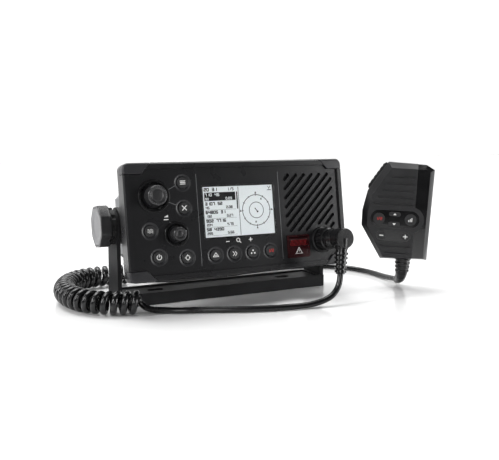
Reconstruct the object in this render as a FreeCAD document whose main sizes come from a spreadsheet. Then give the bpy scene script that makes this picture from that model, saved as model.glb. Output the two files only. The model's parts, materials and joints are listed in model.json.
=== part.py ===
import FreeCAD, Part
import math
import os

import Sketcher
from FreeCAD import Placement, Rotation, Vector

# A fixed-mount marine radio on its tilting bracket, with a handset on a curly cord.
# Millimetres, +Z up, +Y away from the reader, origin under the middle of the bracket base.

doc = FreeCAD.newDocument("marine_radio")
sizes = doc.addObject("Spreadsheet::Sheet", "sizes")

DRIVING_SIZES = (
    # Where the radio hangs in its bracket
    ("pivot_height", 60.0), ("tilt_angle", 9.2), ("face_offset", 40.5),
    # Front housing
    ("face_width", 180.0), ("face_height", 84.2), ("face_corner", 4.5), ("bezel_depth", 12.0),
    ("rail_top", 4.6), ("rail_bottom", 3.9), ("side_strip", 4.0), ("rail_proud", 1.6),
    ("front_bevel", 1.1), ("panel_thickness", 2.6), ("shell_wall", 2.4),
    ("cap_length", 13.6), ("cap_height", 8.2), ("cap_slant", 7.2), ("cap_reach", 7.0),
    ("cap_gap", 0.25), ("corner_post_x", 75.5), ("corner_post_z", 28.0),
    # Display
    ("screen_width", 57.4), ("screen_height", 37.3), ("screen_x", -1.5), ("screen_z", 4.8),
    ("window_lip", 1.2), ("window_thickness", 1.4), ("window_gap", 0.05), ("display_depth", 5.0),
    ("display_border", 2.5),
    # Front keys
    ("key_radius", 4.25), ("key_dish_radius", 6.05), ("key_dish_depth", 0.9), ("key_proud", 0.7),
    ("key_gap", 0.2), ("key_travel", 0.8), ("key_flange", 0.9), ("key_bevel", 0.45),
    ("left_column_x", -46.0), ("menu_key_z", 27.2), ("cancel_key_z", 8.8),
    ("weather_key_x", -72.6), ("weather_key_z", -6.3), ("power_key_x", -67.4),
    ("power_key_z", -25.2), ("row_z", -27.0), ("row_first_x", -24.0), ("row_pitch", 15.25),
    # Rotary knobs
    ("channel_x", -68.0), ("channel_z", 18.2), ("channel_collar_radius", 11.9),
    ("channel_knob_radius", 7.5), ("channel_knob_proud", 9.4),
    ("volume_x", -53.0), ("volume_z", -9.6), ("volume_collar_radius", 9.3),
    ("volume_knob_radius", 5.3), ("volume_knob_proud", 8.4),
    ("collar_wall", 1.6), ("collar_proud", 1.0), ("collar_seat", 1.2), ("collar_gap", 0.9),
    ("knob_wall", 1.7), ("knob_press", 0.6), ("shaft_radius", 2.3), ("shaft_gap", 0.06),
    ("encoder_width", 12.5), ("encoder_depth", 6.0), ("bushing_radius", 3.5),
    # Speaker grille
    ("grille_left", 38.1), ("grille_right", 80.0), ("grille_top", 30.1), ("grille_bottom", -12.9),
    ("grille_step", 5.03), ("grille_first", 11.15), ("slot_width", 2.5), ("speaker_radius", 20.5),
    ("speaker_x", 58.5), ("speaker_z", 10.5), ("speaker_depth", 15.0),
    # Red flip cover and its key
    ("alarm_x", 46.3), ("alarm_z", -25.3), ("alarm_width", 19.7), ("alarm_height", 17.5),
    ("alarm_rim", 1.5), ("alarm_lip", 1.3), ("alarm_proud", 1.0), ("cover_thickness", 1.3),
    ("cover_gap", 0.25), ("alarm_depth", 7.0), ("hinge_pin_radius", 0.7),
    # Handset socket and plug
    ("socket_x", 68.8), ("socket_z", -21.6), ("socket_collar_radius", 10.2),
    ("socket_collar_proud", 2.2), ("socket_barrel_radius", 6.0), ("socket_barrel_proud", 9.5),
    ("socket_bore", 4.6), ("nut_radius", 8.7), ("nut_length", 9.5), ("nut_gap", 0.06),
    ("nut_groove", 1.2),
    ("neck_radius", 7.3), ("neck_length", 10.5), ("head_radius", 7.7), ("head_length", 10.0),
    ("relief_lean", 8.0), ("relief_top", 8.0), ("relief_length", 19.0),
    ("relief_thick", 4.4), ("relief_thin", 3.3), ("relief_rib", 1.3), ("relief_pitch", 3.4),
    # Rear housing
    ("rear_width", 150.0), ("rear_height", 66.0), ("rear_chamfer", 11.0), ("rear_reach", 37.0),
    ("flange_inset", 4.0), ("flange_height", 76.0), ("flange_thickness", 3.0),
    ("gasket_thickness", 0.8), ("screw_radius", 1.5), ("screw_grip", 5.0), ("rear_wall", 3.0),
    ("fin_depth", 7.0), ("fin_gap", 4.0),
    ("fin_pitch", 7.5), ("fin_span", 90.0), ("boss_radius", 12.5),
    ("antenna_x", -50.0), ("inlet_x", 56.0), ("rear_port_z", 0.0), ("port_gap", 0.1),
    ("antenna_stem", 6.0), ("antenna_radius", 7.6), ("antenna_bore", 5.6), ("antenna_length", 15.6),
    ("inlet_stem", 7.0), ("inlet_bore", 3.4), ("inlet_length", 9.0), ("screw_gap", 0.2),
    # Bracket
    ("bracket_width", 177.8), ("arm_thickness", 2.9), ("arm_foot", 27.6), ("arm_top_radius", 11.5),
    ("base_depth", 29.0), ("base_height", 9.4), ("base_wall", 2.4),
    ("base_recess", 1.2), ("mount_slot_width", 6.5), ("mount_slot_length", 13.0),
    ("mount_slot_x", 56.0), ("stud_hole_gap", 0.2),
    # Clamp knobs
    ("washer_radius", 13.8), ("washer_gap", 0.1), ("inner_washer", 5.9), ("outer_washer", 3.1),
    ("stud_radius", 3.0),
    ("stud_fit", 0.05), ("stud_grip", 25.0), ("clamp_radius", 16.6), ("clamp_length", 8.6),
    ("clamp_bevel", 1.2), ("insert_radius", 14.6), ("insert_thickness", 1.2), ("insert_dish", 0.7),
    # Handset
    ("handset_x", 132.6), ("handset_y", -56.0), ("handset_z", 64.0), ("handset_yaw", -38.0),
    ("handset_lean", 2.5), ("handset_depth", 29.0), ("handset_split", 13.0),
    ("handset_bevel_depth", 5.0), ("handset_back_taper", 4.0),
    ("handset_wall", 2.2), ("band_edge", 13.4), ("band_bulge", 10.6), ("mic_slot_width", 1.9),
    ("mic_slot_pitch", 5.55), ("mic_slot_top", 29.6), ("mic_slot_right", 10.4),
    ("handset_key_radius", 4.7), ("handset_key_gap", 0.2), ("handset_key_travel", 0.7),
    ("handset_key_proud", 0.8), ("pill_length", 9.6), ("pill_width", 3.6),
    ("small_key_radius", 3.3), ("talk_travel", 1.2), ("talk_proud", 2.4),
    ("talk_depth", 2.4), ("talk_width", 13.0),
    ("microphone_radius", 4.5), ("microphone_depth", 4.6), ("hang_stem", 2.0), ("hang_gap", 0.05),
    ("hang_head", 6.5), ("hang_thickness", 1.8), ("hang_z", 22.0),
    ("handset_relief_x", 6.8), ("handset_relief_thick", 6.4), ("handset_relief_thin", 3.6),
    # Cord
    ("cord_diameter", 4.6), ("coil_outer", 17.4), ("coil_pitch", 6.55), ("coil_drawn_end", 11.0),
    ("coil_drawn_turns", 0.4),
)

for row, (name, number) in enumerate(DRIVING_SIZES, start=1):
    sizes.set("A%d" % row, name)
    sizes.set("B%d" % row, str(number))
    sizes.setAlias("B%d" % row, name)
doc.recompute()

X_AXIS, Y_AXIS, Z_AXIS = Vector(1, 0, 0), Vector(0, 1, 0), Vector(0, 0, 1)
nodes = []


def value(text):
    """The number that an expression on the sheet gives, worked out in a cell of its own."""
    sizes.set("D1", "=" + text.replace("sizes.", ""))
    sizes.recompute()
    return float(sizes.D1)


def bind(obj, **expressions):
    """Ties properties to the sheet; a double underscore stands for a dot."""
    for prop, text in expressions.items():
        obj.setExpression(prop.replace("__", "."), text)
    return obj


def frame(name, base, turn):
    """A named coordinate frame whose place follows the sheet."""
    datum = doc.addObject("App::Placement", name)
    bind(datum, Placement="placement(vector(%s); %s)" % (base, turn))
    doc.recompute()
    return datum


def seat(obj, carrier, base="0; 0; 0", turn="rotation(vector(0; 0; 1); 0)"):
    """Places a finished piece in the frame that carries it."""
    text = "placement(vector(%s); %s)" % (base, turn)
    if carrier:
        text = "%s.Placement * %s" % (carrier.Name, text)
    return bind(obj, Placement=text)


def keep(obj, label):
    """Gives a sub-part its name and puts it on the list that is written."""
    obj.Label = label
    nodes.append(obj)
    return obj


def block(name, low_x, high_x, low_y, high_y, low_z, high_z):
    """A box between six expressions."""
    box = doc.addObject("Part::Box", name)
    return bind(box, Placement__Base__x=low_x, Placement__Base__y=low_y, Placement__Base__z=low_z,
                Length="(%s) - (%s)" % (high_x, low_x), Width="(%s) - (%s)" % (high_y, low_y),
                Height="(%s) - (%s)" % (high_z, low_z))


TURN_TO = {"x": Rotation(Y_AXIS, 90), "y": Rotation(X_AXIS, -90), "z": Rotation()}


def rod(name, axis, radius, length, at_x="0", at_y="0", at_z="0"):
    """A cylinder along +X, +Y or +Z from a point."""
    cylinder = doc.addObject("Part::Cylinder", name)
    cylinder.Placement = Placement(Vector(), TURN_TO[axis])
    return bind(cylinder, Radius=radius, Height=length, Placement__Base__x=at_x,
                Placement__Base__y=at_y, Placement__Base__z=at_z)


def cone(name, axis, near_radius, far_radius, length, at_x="0", at_y="0", at_z="0"):
    """A truncated cone along +X, +Y or +Z from a point."""
    solid = doc.addObject("Part::Cone", name)
    solid.Placement = Placement(Vector(), TURN_TO[axis])
    return bind(solid, Radius1=near_radius, Radius2=far_radius, Height=length,
                Placement__Base__x=at_x, Placement__Base__y=at_y, Placement__Base__z=at_z)


def fused(name, pieces):
    """One solid out of several."""
    union = doc.addObject("Part::MultiFuse", name)
    union.Shapes = pieces
    return union


def cut(name, base, tools):
    """A piece less its tools."""
    tool = tools[0] if len(tools) == 1 else fused(name + "_tools", tools)
    result = doc.addObject("Part::Cut", name)
    result.Base = base
    result.Tool = tool
    return result


def common(name, pieces):
    """What several solids share."""
    shared = doc.addObject("Part::MultiCommon", name)
    shared.Shapes = pieces
    return shared


def eased(kind, name, base, size, wanted):
    """A fillet or chamfer on the edges that a test picks."""
    doc.recompute()
    easing = doc.addObject(kind, name)
    easing.Base = base
    amount = value(size)
    easing.Edges = [(number, amount, amount) for number, edge
                    in enumerate(base.Shape.Edges, start=1) if wanted(edge)]
    return easing


def runs_along(edge, axis):
    """True for a straight edge along an axis."""
    first, last = edge.Vertexes[0].Point, edge.Vertexes[-1].Point
    span = last - first
    return span.Length > 0 and abs(abs(span.normalize().dot(axis)) - 1) < 1e-6


def shaped(name, shape):
    """A piece whose shape is worked out here from the sheet."""
    feature = doc.addObject("Part::Feature", name)
    feature.Shape = shape
    return feature


def closed_sketch(body, role, corners):
    """A closed outline of straight sides, each corner bound to two expressions."""
    sketch = body.newObject("Sketcher::SketchObject", body.Name + "_outline")
    plane = [item for item in body.Origin.OriginFeatures if item.Role == role][0]
    sketch.AttachmentSupport = (plane, "")
    sketch.MapMode = "FlatFace"
    places = [Vector(value(across), value(up), 0) for across, up in corners]
    count = len(corners)
    for number in range(count):
        sketch.addGeometry(Part.LineSegment(places[number], places[(number + 1) % count]))
    for number in range(count):
        sketch.addConstraint(Sketcher.Constraint("Coincident", number, 2, (number + 1) % count, 1))
    for number, (across, up) in enumerate(corners):
        for kind, text in (("DistanceX", across), ("DistanceY", up)):
            limit = sketch.addConstraint(Sketcher.Constraint(kind, -1, 1, number, 1, value(text)))
            sketch.setExpression("Constraints[%d]" % limit, text)
    return sketch


def turned(name, profile):
    """A turned piece: a profile of (radius, height) corners revolved about its own Z axis."""
    body = doc.addObject("PartDesign::Body", name)
    sketch = closed_sketch(body, "XZ_Plane", profile)
    revolution = body.newObject("PartDesign::Revolution", name + "_turning")
    revolution.Profile = sketch
    revolution.ReferenceAxis = (sketch, ["V_Axis"])
    revolution.Angle = 360
    return body


def padded(name, role, corners, length, reverse=False):
    """An outline pushed into a solid by a length."""
    body = doc.addObject("PartDesign::Body", name)
    sketch = closed_sketch(body, role, corners)
    pad = body.newObject("PartDesign::Pad", name + "_pad")
    pad.Profile = sketch
    pad.Reversed = reverse
    bind(pad, Length=length)
    return body


def mirrored_x(name, source):
    """The same piece on the other side of the YZ plane."""
    mirror = doc.addObject("Part::Mirroring", name)
    mirror.Source = source
    mirror.Normal = X_AXIS
    return mirror


def stadium(start, end, width, depth_from, depth_to):
    """A slot with round ends between two points of the XZ plane, from one depth to another."""
    along = (end - start).normalize()
    side = Vector(-along.z, 0, along.x) * (width / 2)
    lift = Vector(0, depth_from, 0)
    corners = [start + side + lift, end + side + lift, end - side + lift, start - side + lift]
    end_cap = Part.Arc(corners[1], end + along * (width / 2) + lift, corners[2])
    start_cap = Part.Arc(corners[3], start - along * (width / 2) + lift, corners[0])
    edges = [Part.LineSegment(corners[0], corners[1]).toShape(), end_cap.toShape(),
             Part.LineSegment(corners[2], corners[3]).toShape(), start_cap.toShape()]
    return Part.Face(Part.Wire(edges)).extrude(Vector(0, depth_to - depth_from, 0))


chassis = frame("chassis_frame", "0; 0; sizes.pivot_height",
                "rotation(vector(1; 0; 0); -sizes.tilt_angle)")
handset = frame("handset_frame", "sizes.handset_x; sizes.handset_y; sizes.handset_z",
                "rotation(vector(0; 0; 1); sizes.handset_yaw)"
                " * rotation(vector(0; 1; 0); sizes.handset_lean)")

FACE = "-sizes.face_offset"
RAIL_FRONT = "-(sizes.face_offset + sizes.rail_proud)"
PANEL_BACK = "-(sizes.face_offset - sizes.panel_thickness)"
BEZEL_BACK = "-(sizes.face_offset - sizes.bezel_depth)"
FORWARD = "rotation(vector(1; 0; 0); 90)"
FLANGE_WIDTH = "(sizes.face_width - 2 * sizes.flange_inset)"
BOSS_REACH = ("(sizes.bracket_width / 2 - sizes.arm_thickness - sizes.inner_washer"
              " - sizes.washer_gap)")


# Bracket: a drafted base tray with two arms that taper to the clamp pivots

def make_bracket():
    half, depth = "sizes.bracket_width / 2", "sizes.base_depth / 2"
    tray = block("base_block", "-" + half, half, "-" + depth, depth, "0", "sizes.base_height")
    well = block("base_recess_cut", "-(%s) + sizes.base_wall + sizes.arm_thickness" % half,
                 "%s - sizes.base_wall - sizes.arm_thickness" % half,
                 "-(%s) + sizes.base_wall" % depth, "%s - sizes.base_wall" % depth,
                 "sizes.base_height - sizes.base_recess", "sizes.base_height + 1")
    slots = []
    for side in (-1, 1):
        x = side * value("sizes.mount_slot_x")
        reach = (value("sizes.mount_slot_length") - value("sizes.mount_slot_width")) / 2
        slot = stadium(Vector(x - reach, 0, 0), Vector(x + reach, 0, 0),
                       value("sizes.mount_slot_width"), -1, value("sizes.base_height") + 1)
        slot.rotate(Vector(0, 0, 0), X_AXIS, 90)
        slots.append(slot)
    holes = shaped("mount_slots", Part.makeCompound(slots))
    base = cut("base_tray", tray, [well, holes])
    top, foot = value("sizes.arm_top_radius"), value("sizes.arm_foot") / 2
    height = value("sizes.pivot_height")
    angle = math.atan2(-height, foot) + math.acos(top / math.hypot(foot, height))
    touch = Vector(0, top * math.cos(angle), height + top * math.sin(angle))
    mirror = Vector(0, -touch.y, touch.z)
    side = Part.Wire([
        Part.LineSegment(Vector(0, -foot, 0), Vector(0, foot, 0)).toShape(),
        Part.LineSegment(Vector(0, foot, 0), touch).toShape(),
        Part.Arc(touch, Vector(0, 0, height + top), mirror).toShape(),
        Part.LineSegment(mirror, Vector(0, -foot, 0)).toShape()])
    arms = []
    for sign in (-1, 1):
        outer = sign * value("sizes.bracket_width") / 2
        arm = Part.Face(side).extrude(Vector(-sign * value("sizes.arm_thickness"), 0, 0))
        arm.translate(Vector(outer, 0, 0))
        arms.append(arm)
    sides = shaped("arm_plates", Part.makeCompound(arms))
    bore = rod("stud_bore", "x", "sizes.stud_radius + sizes.stud_hole_gap",
               "sizes.bracket_width + 2", "-sizes.bracket_width / 2 - 1", "0",
               "sizes.pivot_height")
    whole = cut("bracket", fused("bracket_blank", [base, sides]), [bore])
    keep(whole, "bracket")


def make_front_housing():
    half_w, half_h = "sizes.face_width / 2", "sizes.face_height / 2"
    blank = block("face_blank", "-" + half_w, half_w, RAIL_FRONT, BEZEL_BACK, "-" + half_h, half_h)
    rounded = eased("Part::Fillet", "face_rounded", blank, "sizes.face_corner",
                    lambda edge: runs_along(edge, Y_AXIS))
    front = value(RAIL_FRONT)
    bevelled = eased("Part::Chamfer", "face_bevelled", rounded, "sizes.front_bevel",
                     lambda edge: all(abs(v.Y - front) < 1e-6 for v in edge.Vertexes))
    recess = block("panel_recess", "-(%s) + sizes.side_strip" % half_w,
                   "%s - sizes.side_strip" % half_w, RAIL_FRONT + " - 1", FACE,
                   "-(%s) + sizes.rail_bottom" % half_h, "%s - sizes.rail_top" % half_h)
    hollow = block("face_hollow", "-(%s) + sizes.shell_wall" % half_w,
                   "%s - sizes.shell_wall" % half_w, PANEL_BACK, BEZEL_BACK + " + 1",
                   "-(%s) + sizes.shell_wall" % half_h, "%s - sizes.shell_wall" % half_h)
    solid_corners = [
        block("corner_post" + name, low_x, high_x, PANEL_BACK + " - 1", BEZEL_BACK + " + 2",
              low_z, high_z)
        for name, (low_x, high_x), (low_z, high_z) in corner_limits()]
    tools = [recess, cut("face_room", hollow, solid_corners), corner_prisms("cap_notches", "0")]
    lip = "sizes.window_lip"
    tools.append(block("window_pocket",
                       "sizes.screen_x - sizes.screen_width / 2 - %s" % lip,
                       "sizes.screen_x + sizes.screen_width / 2 + %s" % lip,
                       FACE + " - 1", FACE + " + sizes.window_thickness",
                       "sizes.screen_z - sizes.screen_height / 2 - %s" % lip,
                       "sizes.screen_z + sizes.screen_height / 2 + %s" % lip))
    tools.append(block("screen_opening", "sizes.screen_x - sizes.screen_width / 2",
                       "sizes.screen_x + sizes.screen_width / 2", FACE + " - 1",
                       PANEL_BACK + " + 1", "sizes.screen_z - sizes.screen_height / 2",
                       "sizes.screen_z + sizes.screen_height / 2"))
    for label, x, z in FRONT_KEYS:
        tools.append(rod(label + "_hole", "y", "sizes.key_radius + sizes.key_gap",
                         "sizes.panel_thickness + 2", x, FACE + " - 1", z))
        tools.append(cone(label + "_dish", "y", "sizes.key_dish_radius",
                          "sizes.key_radius + sizes.key_gap", "sizes.key_dish_depth", x, FACE, z))
    for label in ("channel", "volume"):
        at = {"at_x": "sizes.%s_x" % label, "at_y": FACE + " - 1", "at_z": "sizes.%s_z" % label}
        tools.append(rod(label + "_collar_seat", "y", "sizes.%s_collar_radius" % label,
                         "sizes.collar_seat + 1", **at))
        tools.append(rod(label + "_bushing_hole", "y", "sizes.bushing_radius + 0.2",
                         "sizes.panel_thickness + 2", **at))
    tools.append(grille_slots())
    tools.append(rod("socket_hole", "y", "sizes.socket_barrel_radius + 0.1",
                     "sizes.panel_thickness + 2", "sizes.socket_x", FACE + " - 1",
                     "sizes.socket_z"))
    tools.append(block("alarm_hole", *alarm_box("0", FACE + " - 1", PANEL_BACK + " + 1")))
    for number, (x, z) in enumerate(CASE_SCREWS):
        tools.append(rod("screw_seat%d" % number, "y", "sizes.screw_radius", "sizes.screw_grip",
                         x, BEZEL_BACK + " - sizes.screw_grip", z))
    housing = cut("front_housing", bevelled, tools)
    seat(housing, chassis)
    keep(housing, "front_housing")
    caps = common("corner_caps", [bevelled, corner_prisms("cap_prisms", "sizes.cap_gap")])
    seat(caps, chassis)
    keep(caps, "corner_caps")


def corner_limits():
    """Name and limits of the four solid corners that take the caps and the case screws."""
    near_x, near_z = "sizes.corner_post_x", "sizes.corner_post_z"
    far_x, far_z = "sizes.face_width / 2", "sizes.face_height / 2"
    for name_x, x in (("_left", ("-" + far_x, "-" + near_x)), ("_right", (near_x, far_x))):
        for name_z, z in (("_low", ("-" + far_z, "-" + near_z)), ("_high", (near_z, far_z))):
            yield name_x + name_z, x, z


def corner_prisms(name, gap):
    """The four corner outlines, drawn in by a gap on the sides that face the housing."""
    half_w, half_h = value("sizes.face_width / 2"), value("sizes.face_height / 2")
    length, height = value("sizes.cap_length"), value("sizes.cap_height")
    slant, slack = value("sizes.cap_slant"), value(gap)
    near, far = value(RAIL_FRONT) - 1, value(RAIL_FRONT) + value("sizes.cap_reach") - slack
    prisms = []
    for sign_x in (-1, 1):
        for sign_z in (-1, 1):
            corners = ((half_w + 1, half_h + 1), (half_w - length - slant + slack, half_h + 1),
                       (half_w - length - slant + slack, half_h),
                       (half_w - length + slack, half_h - height + slack),
                       (half_w + 1, half_h - height + slack))
            points = [Vector(sign_x * x, near, sign_z * z) for x, z in corners]
            outline = Part.makePolygon(points + points[:1])
            prisms.append(Part.Face(outline).extrude(Vector(0, far - near, 0)))
    return shaped(name, Part.makeCompound(prisms))


def grille_slots():
    """Slots on 45 degree lines, shortened where they come near the handset socket."""
    left, right = value("sizes.grille_left"), value("sizes.grille_right")
    bottom, top = value("sizes.grille_bottom"), value("sizes.grille_top")
    socket_x, socket_z = value("sizes.socket_x"), value("sizes.socket_z")
    clear = value("sizes.socket_collar_radius") + 3
    width, step = value("sizes.slot_width"), value("sizes.grille_step") * math.sqrt(2)
    offset = value("sizes.grille_first")
    slots = []
    while right - offset > bottom:
        start_x, end_x = max(left, bottom + offset), min(right, top + offset)
        aside = (socket_z - socket_x + offset) / math.sqrt(2)
        if abs(aside) < clear:
            near_x = socket_x + aside / math.sqrt(2)
            reach = math.sqrt(clear ** 2 - aside ** 2) / math.sqrt(2)
            start_x = max(start_x, near_x + reach)
        if end_x - start_x > 0.5:
            slots.append(stadium(Vector(start_x, 0, start_x - offset),
                                 Vector(end_x, 0, end_x - offset), width,
                                 value(FACE) - 1, value(PANEL_BACK) + 1))
        offset += step
    return shaped("grille_slots", Part.makeCompound(slots))


def alarm_box(grow, near, far):
    """The six limits of the flip cover's frame, grown all round."""
    return ("sizes.alarm_x - sizes.alarm_width / 2 - %s" % grow,
            "sizes.alarm_x + sizes.alarm_width / 2 + %s" % grow, near, far,
            "sizes.alarm_z - sizes.alarm_height / 2 - %s" % grow,
            "sizes.alarm_z + sizes.alarm_height / 2 + %s" % grow)


FRONT_KEYS = (
    ("menu_key", "sizes.left_column_x", "sizes.menu_key_z"),
    ("cancel_key", "sizes.left_column_x", "sizes.cancel_key_z"),
    ("weather_key", "sizes.weather_key_x", "sizes.weather_key_z"),
    ("power_key", "sizes.power_key_x", "sizes.power_key_z"),
    ("position_key", "sizes.left_column_x", "sizes.row_z"),
    ("signal_key", "sizes.row_first_x", "sizes.row_z"),
    ("scan_key", "sizes.row_first_x + sizes.row_pitch", "sizes.row_z"),
    ("watch_key", "sizes.row_first_x + 2 * sizes.row_pitch", "sizes.row_z"),
    ("calling_key", "sizes.row_first_x + 3 * sizes.row_pitch", "sizes.row_z"),
)


def make_front_keys():
    """Each key is a capped plunger with a flange that stops it behind the panel."""
    for label, x, z in FRONT_KEYS:
        flange, radius = "sizes.key_radius + 0.8", "sizes.key_radius"
        shoulder = "sizes.key_flange"
        top = "%s + 0.1 + sizes.panel_thickness + sizes.key_proud" % shoulder
        key = turned(label + "_body", (
            ("0", "0"), (flange, "0"), (flange, shoulder), (radius, shoulder),
            (radius, top + " - sizes.key_bevel"), (radius + " - sizes.key_bevel", top),
            ("0", top)))
        seat(key, chassis, "%s; %s + 0.1 + sizes.key_flange; %s" % (x, PANEL_BACK, z), FORWARD)
        keep(key, label)
    back = "%s + 0.1 + sizes.key_flange + sizes.key_travel + 0.05" % PANEL_BACK
    sheet_side = block("mat_side", "sizes.weather_key_x - 8", "sizes.power_key_x", back,
                       back + " + 1", "sizes.weather_key_z - 8", "sizes.weather_key_z + 8")
    sheet_left = block("mat_left", "sizes.power_key_x - 7", "sizes.left_column_x + 7.5", back,
                       back + " + 1", "-sizes.face_height / 2 + 9", "sizes.face_height / 2 - 9")
    sheet_row = block("mat_row", "sizes.left_column_x + 7", "sizes.row_first_x + 3 * sizes.row_pitch + 7",
                      back, back + " + 1", "sizes.row_z - 7", "sizes.row_z + 7")
    holes = [rod(label + "_mat_hole", "y", "sizes.encoder_width * 0.75", "3", "sizes.%s_x" % label,
                 back + " - 1", "sizes.%s_z" % label) for label in ("channel", "volume")]
    mat = cut("keypad_mat", fused("mat_sheets", [sheet_side, sheet_left, sheet_row]), holes)
    seat(mat, chassis)
    keep(mat, "keypad_mat")


def make_knobs():
    """A collar in the panel, an encoder body behind it, its shaft and a hollow dished knob."""
    collars, encoders = [], []
    for label in ("channel", "volume"):
        x, z = "sizes.%s_x" % label, "sizes.%s_z" % label
        outer = "sizes.%s_collar_radius - 0.05" % label
        radius, proud = "sizes.%s_knob_radius" % label, "sizes.%s_knob_proud" % label
        ring = turned(label + "_collar", (
            (radius + " + sizes.collar_gap", "0"), (outer, "0"),
            (outer, "sizes.collar_seat + sizes.collar_proud - 0.4"),
            (outer + " - 0.4", "sizes.collar_seat + sizes.collar_proud"),
            (outer + " - sizes.collar_wall", "sizes.collar_seat + sizes.collar_proud"),
            (radius + " + sizes.collar_gap", "0.4")))
        seat(ring, None, "%s; %s + sizes.collar_seat; %s" % (x, FACE, z), FORWARD)
        collars.append(ring)
        case = block(label + "_encoder", x + " - sizes.encoder_width / 2",
                     x + " + sizes.encoder_width / 2", PANEL_BACK + " + 0.3",
                     PANEL_BACK + " + 0.3 + sizes.encoder_depth",
                     z + " - sizes.encoder_width / 2", z + " + sizes.encoder_width / 2")
        bushing = rod(label + "_bushing", "y", "sizes.bushing_radius",
                      "sizes.panel_thickness + 1", x, FACE + " - 0.5", z)
        bore = rod(label + "_encoder_bore", "y", "sizes.shaft_radius + sizes.shaft_gap",
                   "sizes.panel_thickness + 4", x, FACE + " - 1", z)
        encoders.append(cut(label + "_encoder_case",
                            fused(label + "_encoder_blank", [case, bushing]), [bore]))
        shaft_back = "%s + 1.2" % PANEL_BACK
        tip = "%s - (%s) + sizes.knob_wall + sizes.knob_press + 0.2" % (FACE, proud)
        thin = "sizes.shaft_radius"
        shaft = rod(label + "_shaft_rod", "y", thin, "(%s) - (%s)" % (shaft_back, tip), x, tip, z)
        flat = block(label + "_shaft_flat", x + " - 4", x + " + 4", tip + " - 1",
                     FACE + " - 1.5", "%s + %s - 0.7" % (z, thin), z + " + 5")
        spindle = cut(label + "_shaft_cut", shaft, [flat])
        seat(spindle, chassis)
        keep(spindle, label + "_shaft")
        skirt = "0.7 + sizes.knob_press"
        knob = turned(label + "_knob_body", (
            (thin + " + sizes.shaft_gap", skirt), (radius, skirt),
            (radius + " - 0.35", proud + " - 0.9"), (radius + " - 1.1", proud),
            (radius + " - 2", proud), (radius + " - 3", proud + " - 0.9"),
            ("0", proud + " - 1.3"), ("0", proud + " - sizes.knob_wall"),
            (thin + " + sizes.shaft_gap", proud + " - sizes.knob_wall")))
        seat(knob, chassis, "%s; %s; %s" % (x, FACE, z), FORWARD)
        keep(knob, label + "_knob")
    keep(seat(fused("knob_collar_pair", collars), chassis), "knob_collars")
    keep(seat(fused("encoder_pair", encoders), chassis), "encoders")


def make_display():
    """The window sits in its pocket, with the display module against the panel's back."""
    half_w, half_h = "sizes.screen_width / 2", "sizes.screen_height / 2"

    def area(grow):
        return ("sizes.screen_x - %s - %s" % (half_w, grow), "sizes.screen_x + %s + %s" % (half_w, grow),
                "sizes.screen_z - %s - %s" % (half_h, grow), "sizes.screen_z + %s + %s" % (half_h, grow))

    low_x, high_x, low_z, high_z = area("(sizes.window_lip - sizes.window_gap)")
    pane = block("window_pane", low_x, high_x, FACE + " + sizes.window_gap",
                 FACE + " + sizes.window_thickness", low_z, high_z)
    window = eased("Part::Chamfer", "window_bevelled", pane, "0.3",
                   lambda edge: runs_along(edge, Y_AXIS))
    keep(seat(window, chassis), "screen_window")
    low_x, high_x, low_z, high_z = area("(-sizes.window_gap)")
    glass = block("display_glass", low_x, high_x, FACE + " + sizes.window_thickness",
                  PANEL_BACK + " + 1", low_z, high_z)
    low_x, high_x, low_z, high_z = area("sizes.display_border")
    case = block("display_case", low_x, high_x, PANEL_BACK,
                 PANEL_BACK + " + sizes.display_depth", low_z, high_z)
    keep(seat(fused("display_pair", [glass, case]), chassis), "display_module")


def make_speaker():
    """A small loudspeaker: flange, basket cone and magnet behind the grille."""
    radius, depth = "sizes.speaker_radius", "sizes.speaker_depth"
    driver = turned("speaker_body", (
        ("0", "0"), (radius + " * 0.42", "0"), (radius + " * 0.42", depth + " * 0.45"),
        (radius, depth + " - 1.6"), (radius, depth), (radius + " - 2.5", depth),
        ("0", depth + " * 0.6")))
    seat(driver, chassis, "sizes.speaker_x; %s + 0.1 + %s; sizes.speaker_z" % (PANEL_BACK, depth),
         FORWARD)
    keep(driver, "speaker")


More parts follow.
